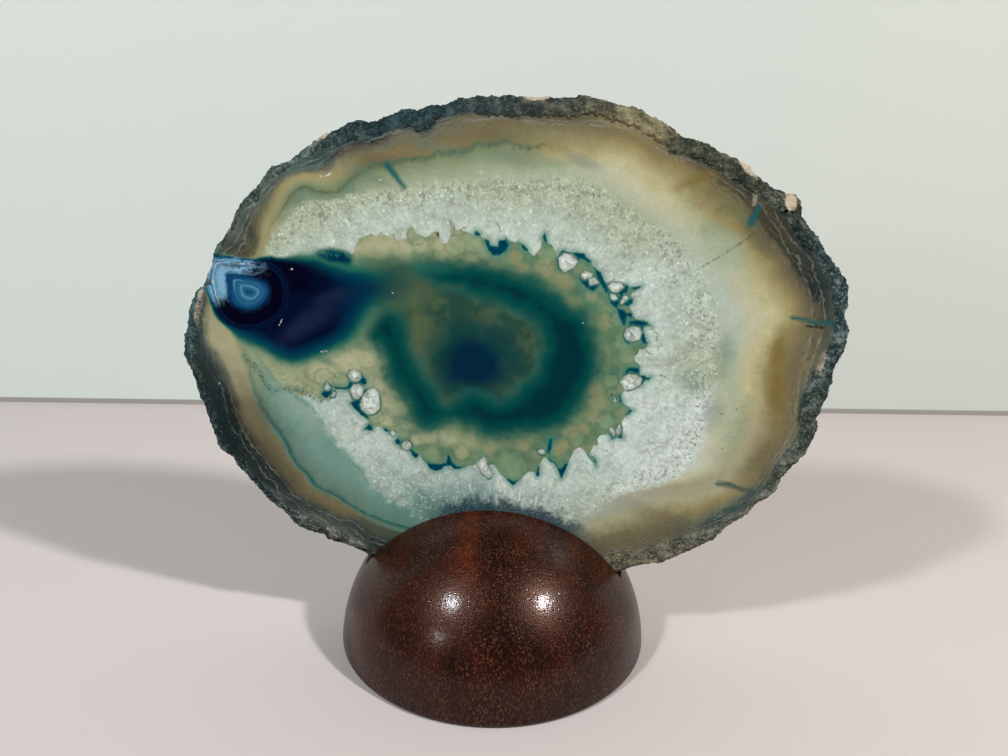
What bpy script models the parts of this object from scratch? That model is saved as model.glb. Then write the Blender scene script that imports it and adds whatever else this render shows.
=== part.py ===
"""Polished agate slice standing in the slot of a turned hardwood half-ball.

Frame: metres, +Z up. The origin is the middle of the half-ball's flat base.
The slice's cut faces look along -Y (front) and +Y (back), and its length runs along X.
"""
import math

import bmesh
import bpy
from mathutils import Matrix, Vector, noise

MM = 0.001

# Stand: a ball cap a little lower than half a ball
DOME_RADIUS = 32.0 * MM
DOME_HEIGHT = 31.4 * MM
BASE_EDGE_RADIUS = 0.9 * MM
DOME_STEPS = 72
ARC_SEGMENTS = 18
EDGE_SEGMENTS = 3

# Slice and the gap that touching pieces keep
SLICE_THICKNESS = 7.0 * MM
TOUCH_GAP = 0.3 * MM

# Slot: the bite of a round saw blade, as wide as the slice and its two gaps
SLOT_WIDTH = SLICE_THICKNESS + 2 * TOUCH_GAP
SLOT_FLOOR = 10.6 * MM
BLADE_RADIUS = 60.0 * MM
BLADE_SIDES = 160

# Outline of the slice's widest section, (x, z) in millimetres, clockwise seen from the front
LEFT_SHOULDER = [
    (-58.5, 73.5), (-57, 74.5), (-56, 77), (-55, 79.5), (-54, 82), (-52, 84.5), (-50.5, 87.5),
    (-49.5, 89.5), (-48, 91.5), (-45.5, 94), (-43, 97), (-41.5, 98), (-39, 99), (-36.5, 101),
    (-33.5, 103), (-31, 104.2), (-29, 105.5), (-26.5, 106.5),
]
TOP_EDGE = [
    (-24, 106.2), (-21.5, 107.3), (-18.5, 108), (-15.5, 108.5), (-13, 109.5), (-10.5, 109.6),
    (-8, 111), (-6, 110.9), (-3.5, 111), (-0.5, 111.4), (2.5, 111.4), (6.5, 111.5), (10, 111.3),
    (13, 111), (14.5, 111.6), (18, 110.9), (21, 110.6), (24.5, 109.8), (26, 108.2), (27.7, 107.9),
]
RIGHT_SHOULDER = [
    (30.3, 106.3), (31.3, 105.5), (33.6, 104.8), (36.5, 104.3), (39, 103), (41, 102), (44, 100.5),
    (46, 98.5), (48.5, 97), (51.5, 95.4), (53.5, 94.8), (54, 93), (55.5, 90.5), (58, 88),
    (59.5, 86), (61, 84.2), (62.7, 82.5), (64, 79.7), (65, 76),
]
RIGHT_SIDE = [
    (64.8, 73.7), (65.8, 71), (65.5, 68.5), (65, 66), (64, 64), (64, 61), (63.5, 58.5), (63, 56),
    (62.2, 53), (62.5, 51), (61.5, 47.5), (60.5, 45), (58, 42), (57, 40), (56.2, 37.5),
    (54, 35.5), (51, 32), (47, 28.5), (43, 25), (39, 22.7), (34.5, 20.4), (30.5, 19.2),
]
SEATED_EDGE = [
    (27.5, 17.8), (22.5, 15.5), (14, 12.8), (5.5, 11.5), (-3, 11.4), (-11.5, 12.6), (-18.5, 14.7),
    (-23, 16.4), (-25.5, 17.6),
]
LEFT_SIDE = [
    (-28, 19), (-30.5, 20), (-33.7, 20.6), (-35.5, 22.5), (-39, 23.5), (-42, 25), (-43.5, 27.5),
    (-46.5, 29.7), (-49, 32), (-50.5, 34), (-52.5, 36.8), (-54.5, 39.5), (-56.3, 42), (-57.5, 45),
    (-58.5, 49), (-59.6, 53), (-60.7, 57), (-61.5, 61), (-61.6, 63.7), (-60.8, 66.6), (-60, 70),
]
OUTLINE = LEFT_SHOULDER + TOP_EDGE + RIGHT_SHOULDER + RIGHT_SIDE + SEATED_EDGE + LEFT_SIDE
POINTS_PER_SPAN = 2

# Rind: how far the front face stands back from the widest section, in millimetres,
# at every 30 degrees round the slice from +X towards +Z
RIND_SLOPE = [2.1, 1.9, 2.2, 2.1, 2.0, 1.2, 1.6, 2.3, 1.8, 1.0, 1.4, 1.7]
SLICE_CENTRE = (2.0, 61.0)
# Rim profile from the front face to the back: (part of the thickness, part of the slope)
RIM_PROFILE = [
    (0.0, 1.0), (0.05, 0.66), (0.12, 0.35), (0.22, 0.1), (0.4, 0.0), (0.62, 0.03), (0.83, 0.2),
    (1.0, 0.55),
]
WIDEST_DEPTH = 0.4
# Lumps of the rind: size across and height of the coarse and the fine ones
COARSE_LUMP = 4.5 * MM
COARSE_HEIGHT = 1.1 * MM
FINE_LUMP = 1.9 * MM
FINE_HEIGHT = 0.45 * MM
# The lumps fade out between these heights, where the rim goes down into the slot
LUMPS_START = 16.5 * MM
LUMPS_FULL = 21.0 * MM


def clear_objects():
    for old in list(bpy.data.objects):
        bpy.data.objects.remove(old, do_unlink=True)


def new_collection(name):
    collection = bpy.data.collections.new(name)
    bpy.context.scene.collection.children.link(collection)
    return collection


def new_material(name, colour, roughness, metallic=0.0):
    material = bpy.data.materials.new(name)
    material.use_nodes = True
    shader = material.node_tree.nodes["Principled BSDF"]
    shader.inputs["Base Color"].default_value = (*colour, 1.0)
    shader.inputs["Roughness"].default_value = roughness
    shader.inputs["Metallic"].default_value = metallic
    return material


def new_object(name, mesh, collection, material=None):
    piece = bpy.data.objects.new(name, mesh)
    collection.objects.link(piece)
    if material:
        mesh.materials.append(material)
    return piece


def evaluated_mesh(piece):
    depsgraph = bpy.context.evaluated_depsgraph_get()
    return bpy.data.meshes.new_from_object(piece.evaluated_get(depsgraph))


def smooth_outline():
    """Points of a smooth closed curve through OUTLINE, in metres, in the plane y = 0."""
    curve = bpy.data.curves.new("outline", "CURVE")
    curve.dimensions = "2D"
    curve.fill_mode = "NONE"
    curve.resolution_u = POINTS_PER_SPAN
    spline = curve.splines.new("BEZIER")
    spline.bezier_points.add(len(OUTLINE) - 1)
    spline.use_cyclic_u = True
    for knot, (x, z) in zip(spline.bezier_points, OUTLINE):
        knot.co = (x * MM, z * MM, 0.0)
        knot.handle_left_type = "AUTO"
        knot.handle_right_type = "AUTO"
    guide = bpy.data.objects.new("outline", curve)
    bpy.context.scene.collection.objects.link(guide)
    mesh = evaluated_mesh(guide)
    mesh.transform(Matrix.Rotation(math.radians(90), 4, "X"))
    bpy.data.objects.remove(guide)
    return mesh


def rind_slope(point):
    """Slope of the rind in metres at a point of the outline, from the list round the slice."""
    angle = math.atan2(point.z - SLICE_CENTRE[1] * MM, point.x - SLICE_CENTRE[0] * MM)
    place = (angle / math.tau * len(RIND_SLOPE)) % len(RIND_SLOPE)
    first = int(place)
    blend = place - first
    second = (first + 1) % len(RIND_SLOPE)
    return ((1 - blend) * RIND_SLOPE[first] + blend * RIND_SLOPE[second]) * MM


def lump_height(point):
    """How far the rind's lumps stand out, or sink in, at a point of the rim.

    The coarse lumps come and go across the thickness, and leave the widest section as drawn.
    """
    widest = Vector((point.x, (WIDEST_DEPTH - 0.5) * SLICE_THICKNESS, point.z))
    coarse = (noise.noise(point / COARSE_LUMP) - noise.noise(widest / COARSE_LUMP)) * COARSE_HEIGHT
    fine = noise.noise(point / FINE_LUMP) * FINE_HEIGHT
    shown = (point.z - LUMPS_START) / (LUMPS_FULL - LUMPS_START)
    return (coarse + fine) * min(max(shown, 0.0), 1.0)


def outward_directions(points):
    directions = []
    for i, point in enumerate(points):
        along = points[(i + 1) % len(points)] - points[i - 1]
        across = Vector((-along.z, 0.0, along.x)).normalized()
        middle = Vector((SLICE_CENTRE[0] * MM, 0.0, SLICE_CENTRE[1] * MM))
        if across.dot(point - middle) < 0:
            across.negate()
        directions.append(across)
    return directions


def agate_slice(collection):
    """One solid: two flat faces and, between them, the lumpy rim of the nodule's rind."""
    bm = bmesh.new()
    bm.from_mesh(smooth_outline())
    face = bmesh.ops.contextual_create(bm, geom=bm.edges[:])["faces"][0]
    outline = [loop.vert.co.copy() for loop in face.loops]
    outward = outward_directions(outline)
    front = face
    for depth, slope_part in RIM_PROFILE:
        if depth > 0:
            pulled = bmesh.ops.extrude_face_region(bm, geom=[face])
            if face is not front:
                bmesh.ops.delete(bm, geom=[face], context="FACES_ONLY")
            face = next(part for part in pulled["geom"] if isinstance(part, bmesh.types.BMFace))
        y = (depth - 0.5) * SLICE_THICKNESS
        for loop, point, direction in zip(face.loops, outline, outward):
            level = Vector((point.x, y, point.z))
            shift = lump_height(level) - slope_part * rind_slope(point)
            loop.vert.co = level + direction * shift
    bmesh.ops.recalc_face_normals(bm, faces=bm.faces[:])
    mesh = bpy.data.meshes.new("agate_slice")
    bm.to_mesh(mesh)
    bm.free()
    material = new_material("dyed_agate", (0.30, 0.40, 0.35), 0.15)
    piece = new_object("agate_slice", mesh, collection, material)
    mesh.shade_smooth()
    mesh.set_sharp_from_angle(angle=math.radians(35))
    return piece


def dome_profile():
    """Half section of the cap at +X, from the top down its outer side and in along the base."""
    centre_z = DOME_HEIGHT - DOME_RADIUS
    edge = BASE_EDGE_RADIUS
    # The rounding touches the base plane and the inside of the ball
    edge_z = edge
    edge_x = math.sqrt((DOME_RADIUS - edge) ** 2 - (edge_z - centre_z) ** 2)
    meet = math.atan2(edge_z - centre_z, edge_x)
    points = []
    for i in range(ARC_SEGMENTS + 1):
        angle = math.pi / 2 + (meet - math.pi / 2) * i / ARC_SEGMENTS
        points.append((DOME_RADIUS * math.cos(angle), centre_z + DOME_RADIUS * math.sin(angle)))
    for i in range(1, EDGE_SEGMENTS + 1):
        angle = meet + (-math.pi / 2 - meet) * i / EDGE_SEGMENTS
        points.append((edge_x + edge * math.cos(angle), edge_z + edge * math.sin(angle)))
    points.append((0.0, 0.0))
    return points


def saw_blade(cutters):
    """The round blade that bites the slot down from above, thin along Y."""
    bm = bmesh.new()
    bmesh.ops.create_cone(
        bm, cap_ends=True, segments=BLADE_SIDES, radius1=BLADE_RADIUS, radius2=BLADE_RADIUS,
        depth=SLOT_WIDTH,
    )
    mesh = bpy.data.meshes.new("saw_blade")
    bm.to_mesh(mesh)
    bm.free()
    blade = new_object("saw_blade", mesh, cutters)
    blade.rotation_euler = (math.radians(90), 0.0, 0.0)
    blade.location = (0.0, 0.0, SLOT_FLOOR + BLADE_RADIUS)
    blade.hide_render = True
    blade.display_type = "WIRE"
    return blade


def dome_stand(collection, cutters):
    """One solid: the turned half-ball with the slot cut across its top."""
    bm = bmesh.new()
    profile = [bm.verts.new((x, 0.0, z)) for x, z in dome_profile()]
    for upper, lower in zip(profile, profile[1:]):
        bm.edges.new((upper, lower))
    mesh = bpy.data.meshes.new("dome_stand")
    bm.to_mesh(mesh)
    bm.free()
    material = new_material("waxed_hardwood", (0.045, 0.012, 0.006), 0.35)
    piece = new_object("dome_stand", mesh, collection, material)
    turn = piece.modifiers.new("turned", "SCREW")
    turn.axis = "Z"
    turn.angle = math.tau
    turn.steps = DOME_STEPS
    turn.render_steps = DOME_STEPS
    turn.use_merge_vertices = True
    turn.merge_threshold = 0.0001 * MM
    slot = piece.modifiers.new("slot", "BOOLEAN")
    slot.operation = "DIFFERENCE"
    slot.solver = "EXACT"
    slot.object = saw_blade(cutters)
    return piece


def main():
    clear_objects()
    parts = new_collection("agate_slice_on_stand")
    cutters = new_collection("cutters")
    agate_slice(parts)
    dome_stand(parts, cutters)


main()
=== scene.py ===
import math
from functools import partial
import bpy
import bmesh
import numpy as np
from mathutils import Matrix, Vector, noise


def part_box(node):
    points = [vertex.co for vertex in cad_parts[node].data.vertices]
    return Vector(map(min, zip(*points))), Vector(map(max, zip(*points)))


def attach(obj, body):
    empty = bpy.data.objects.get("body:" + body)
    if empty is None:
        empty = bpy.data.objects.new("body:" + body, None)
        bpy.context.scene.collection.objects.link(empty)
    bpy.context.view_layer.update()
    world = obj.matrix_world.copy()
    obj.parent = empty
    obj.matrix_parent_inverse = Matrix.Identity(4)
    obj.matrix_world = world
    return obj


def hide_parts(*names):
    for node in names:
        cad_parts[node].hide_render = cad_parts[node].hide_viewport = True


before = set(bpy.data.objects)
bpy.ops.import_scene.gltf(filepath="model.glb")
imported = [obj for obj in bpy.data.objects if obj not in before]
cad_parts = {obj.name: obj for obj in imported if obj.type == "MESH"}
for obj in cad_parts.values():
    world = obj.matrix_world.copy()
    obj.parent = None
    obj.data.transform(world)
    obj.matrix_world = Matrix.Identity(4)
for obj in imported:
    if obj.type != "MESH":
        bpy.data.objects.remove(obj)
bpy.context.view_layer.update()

mm = 0.001
weld = 0.001 * mm       # points closer than this are joined
sliceLow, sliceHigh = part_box("agate_slice")
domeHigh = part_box("dome_stand")[1]
faceY = sliceLow.y / mm      # the front face, in mm
backY = sliceHigh.y / mm


# small helpers for colours, nodes and meshes

def screenColour(red, green, blue):
    # a colour on screen, 0 to 255, as the linear one that a shader wants
    def linear(part):
        part = part / 255
        return part / 12.92 if part <= 0.04045 else ((part + 0.055) / 1.055) ** 2.4
    return (linear(red), linear(green), linear(blue), 1.0)


def feed(tree, socket, value):
    if isinstance(value, bpy.types.NodeSocket):
        tree.links.new(value, socket)
    elif isinstance(value, tuple) and len(value) == 3 and len(getattr(socket, "default_value", ())) == 4:
        socket.default_value = (*value, 1.0)
    else:
        socket.default_value = value


def addNode(tree, kind, inputs=None, **settings):
    node = tree.nodes.new("ShaderNode" + kind)
    for name, value in settings.items():
        setattr(node, name, value)
    for name, value in (inputs or {}).items():
        feed(tree, node.inputs[name], value)
    return node


def calc(tree, operation, *values):
    node = addNode(tree, "Math", operation=operation)
    for place, value in enumerate(values):
        feed(tree, node.inputs[place], value)
    return node.outputs[0]


def vectorCalc(tree, operation, *values):
    node = addNode(tree, "VectorMath", operation=operation)
    for place, value in enumerate(values):
        feed(tree, node.inputs[place], value)
    return node.outputs[0]


def product(tree, *masks):
    mask = masks[0]
    for other in masks[1:]:
        mask = calc(tree, "MULTIPLY", mask, other)
    return mask


def total(tree, *values):
    added = values[0]
    for other in values[1:]:
        added = calc(tree, "ADD", added, other)
    return added


def fade(tree, value, start, end):
    # 0 at the start, 1 at the end, eased between; the start may be the higher one
    node = addNode(tree, "MapRange", {"Value": value, "From Min": start, "From Max": end},
                   interpolation_type="SMOOTHSTEP")
    return node.outputs["Result"]


def stretch(tree, value, fromLow, fromHigh, toLow, toHigh):
    node = addNode(tree, "MapRange", {"Value": value, "From Min": fromLow, "From Max": fromHigh,
                                      "To Min": toLow, "To Max": toHigh})
    return node.outputs["Result"]


def layOver(tree, below, above, amount, blend="MIX"):
    node = addNode(tree, "Mix", data_type="RGBA", blend_type=blend, clamp_factor=True)
    feed(tree, node.inputs[0], amount)
    feed(tree, node.inputs[6], below)
    feed(tree, node.inputs[7], above)
    return node.outputs[2]


def blendValue(tree, below, above, amount):
    node = addNode(tree, "Mix", data_type="FLOAT")
    feed(tree, node.inputs[0], amount)
    feed(tree, node.inputs[2], below)
    feed(tree, node.inputs[3], above)
    return node.outputs[0]


def colourRamp(tree, value, stops):
    node = addNode(tree, "ValToRGB", {"Fac": value})
    marks = node.color_ramp.elements
    while len(marks) < len(stops):
        marks.new(0.5)
    for mark, (place, colour) in zip(marks, stops):
        mark.position = place
        mark.color = colour
    return node.outputs["Color"]


def newGroup(name, inputs, outputs):
    tree = bpy.data.node_groups.new(name, "ShaderNodeTree")
    for title, kind, value in inputs:
        socket = tree.interface.new_socket(title, in_out="INPUT", socket_type="NodeSocket" + kind)
        socket.default_value = value
    for title, kind in outputs:
        tree.interface.new_socket(title, in_out="OUTPUT", socket_type="NodeSocket" + kind)
    return tree, tree.nodes.new("NodeGroupInput").outputs, tree.nodes.new("NodeGroupOutput").inputs


def useGroup(tree, group, **inputs):
    node = tree.nodes.new("ShaderNodeGroup")
    node.node_tree = group
    for name, value in inputs.items():
        feed(tree, node.inputs[name], value)
    return node.outputs[0]


def tied(tree, *helpers):
    # the same helpers, at work on one tree of nodes
    return [partial(helper, tree) for helper in helpers]


def newMaterial(name):
    material = bpy.data.materials.new(name)
    material.use_nodes = True
    tree = material.node_tree
    return material, tree, tree.nodes["Principled BSDF"]


def newPiece(name, bm):
    mesh = bpy.data.meshes.new(name)
    bm.to_mesh(mesh)
    bm.free()
    piece = bpy.data.objects.new(name, mesh)
    bpy.context.scene.collection.objects.link(piece)
    return piece


# camera, room and light

room = {
    "cameraPlace": (0.012517, -0.183607, 0.126010),
    "cameraTurn": (69.740, -1.173, 3.930),
    "lens": 35.714,
    "sheetHalf": 2.0,
    "wallDistance": 128 * mm,
    "wallTurn": 4.7,
    "seamHeight": 1.9 * mm,   # height of the painted shade along the foot of the wall, where it meets the floor
    "seamShadeColour": screenColour(150, 148, 142),
    "floorColour": screenColour(187, 178, 175),
    "floorGrain": 900.0,      # ripples to the metre
    "wallColour": screenColour(204, 212, 206),
    "wallFarColour": screenColour(196, 202, 194),
    "wallFade": (-60 * mm, 160 * mm),   # across, from the one wall colour to the other
    "skyColour": (1.0, 1.0, 0.78, 1.0),
    "skyStrength": 0.04,
    "aimHeight": 50 * mm,
    # name: direction towards the light, distance, size, strength on a square-on surface, colour
    "lights": {
        "leftLight": ((-0.483, -0.518, 0.706), 0.9, 0.085, 0.66, (0.90, 0.95, 1.0)),
        "rightLight": ((0.639, -0.37, 0.674), 0.9, 0.065, 0.98, (1.0, 0.96, 0.95)),
        "backLeftLight": ((-0.585, 0.402, 0.704), 0.9, 0.08, 0.08, (1.0, 1.0, 1.0)),
        "backRightLight": ((0.658, 0.621, 0.426), 0.9, 0.08, 0.07, (1.0, 1.0, 1.0)),
        "lowLeftLight": ((-0.604, -0.719, 0.344), 0.9, 0.07, 0.08, (1.0, 1.0, 1.0)),
    },
}


def buildRoom():
    scene = bpy.context.scene
    scene.view_settings.view_transform = "Standard"
    camera = bpy.data.objects.new("camera", bpy.data.cameras.new("camera"))
    camera.location = room["cameraPlace"]
    camera.rotation_euler = [math.radians(turn) for turn in room["cameraTurn"]]
    camera.data.lens = room["lens"]
    camera.data.clip_start = 0.01
    scene.collection.objects.link(camera)
    scene.camera = camera
    for name, (towards, distance, size, strength, colour) in room["lights"].items():
        light = bpy.data.lights.new(name, "AREA")
        light.shape = "DISK"
        light.size = size
        light.color = colour
        light.energy = strength * math.pi ** 2 * distance ** 2
        lamp = bpy.data.objects.new(name, light)
        aim = Vector(towards).normalized()
        lamp.location = Vector((0, 0, room["aimHeight"])) + aim * distance
        lamp.rotation_euler = aim.to_track_quat("Z", "Y").to_euler()
        scene.collection.objects.link(lamp)
    world = bpy.data.worlds.new("softRoom")
    world.use_nodes = True
    world.node_tree.nodes["Background"].inputs["Color"].default_value = room["skyColour"]
    world.node_tree.nodes["Background"].inputs["Strength"].default_value = room["skyStrength"]
    scene.world = world

    # floor and wall, one square each, the wall turned a little
    floorSheet = bmesh.new()
    bmesh.ops.create_grid(floorSheet, x_segments=1, y_segments=1, size=room["sheetHalf"])
    floorPiece = newPiece("floor", floorSheet)
    material, tree, shader = newMaterial("paleFloor")
    spread = addNode(tree, "TexCoord").outputs["Object"]
    grain = {"Vector": spread, "Scale": room["floorGrain"], "Detail": 3.0}
    mottle = addNode(tree, "TexNoise", grain).outputs["Fac"]
    shader.inputs["Base Color"].default_value = room["floorColour"]
    shader.inputs["Roughness"].default_value = 0.6
    shader.inputs["Specular IOR Level"].default_value = 0.2
    bump = addNode(tree, "Bump", {"Height": mottle, "Strength": 0.03, "Distance": 0.2 * mm})
    feed(tree, shader.inputs["Normal"], bump.outputs["Normal"])
    floorPiece.data.materials.append(material)

    wallSheet = bmesh.new()
    bmesh.ops.create_grid(wallSheet, x_segments=1, y_segments=1, size=room["sheetHalf"])
    upright = Matrix.Rotation(math.radians(90), 3, "X")
    turned = Matrix.Rotation(math.radians(room["wallTurn"]), 3, "Z")
    bmesh.ops.rotate(wallSheet, verts=wallSheet.verts, matrix=upright)
    bmesh.ops.rotate(wallSheet, verts=wallSheet.verts, matrix=turned)
    bmesh.ops.translate(wallSheet, verts=wallSheet.verts, vec=(0, room["wallDistance"], room["sheetHalf"]))
    wallPiece = newPiece("backdrop", wallSheet)
    material, tree, shader = newMaterial("paleWall")
    places = addNode(tree, "SeparateXYZ", {"Vector": addNode(tree, "TexCoord").outputs["Object"]}).outputs
    farther = fade(tree, places["X"], *room["wallFade"])
    wallPaint = layOver(tree, room["wallColour"], room["wallFarColour"], farther)
    # painted shade along the foot of the wall, where it meets the floor
    footShade = fade(tree, places["Z"], room["seamHeight"], room["seamHeight"] * 0.8)
    wallPaint = layOver(tree, wallPaint, room["seamShadeColour"], footShade)
    feed(tree, shader.inputs["Base Color"], wallPaint)
    shader.inputs["Roughness"].default_value = 0.8
    shader.inputs["Specular IOR Level"].default_value = 0.1
    # seen from behind, the wall is clear
    clear = addNode(tree, "BsdfTransparent").outputs[0]
    behind = addNode(tree, "NewGeometry").outputs["Backfacing"]
    mixed = addNode(tree, "MixShader", {0: behind})
    tree.links.new(shader.outputs[0], mixed.inputs[1])
    tree.links.new(clear, mixed.inputs[2])
    tree.links.new(mixed.outputs[0], tree.nodes["Material Output"].inputs["Surface"])
    wallPiece.data.materials.append(material)
    print("room, camera and lights are in place")


buildRoom()


# specks: small round spots, in a share of the cells that they are scattered over

def buildSpecks():
    sockets = [("Point", "Vector", (0, 0, 0)), ("Size", "Float", 1.0),
               ("Share", "Float", 0.5), ("Reach", "Float", 0.3)]
    tree, given, made = newGroup("specks", sockets, [("Mask", "Float")])
    scale = calc(tree, "DIVIDE", 1.0, given["Size"])
    spots = addNode(tree, "TexVoronoi", {"Vector": given["Point"], "Scale": scale})
    pick = addNode(tree, "SeparateColor", {"Color": spots.outputs["Color"]}).outputs["Green"]
    full = calc(tree, "MULTIPLY", given["Reach"], 0.4)
    near = fade(tree, spots.outputs["Distance"], given["Reach"], full)
    picked = fade(tree, pick, given["Share"], calc(tree, "SUBTRACT", given["Share"], 0.06))
    feed(tree, made["Mask"], calc(tree, "MULTIPLY", near, picked))
    return tree


specks = buildSpecks()


# the agate slice: where its bands run, read in mm on the front face as (across, up)

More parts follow.
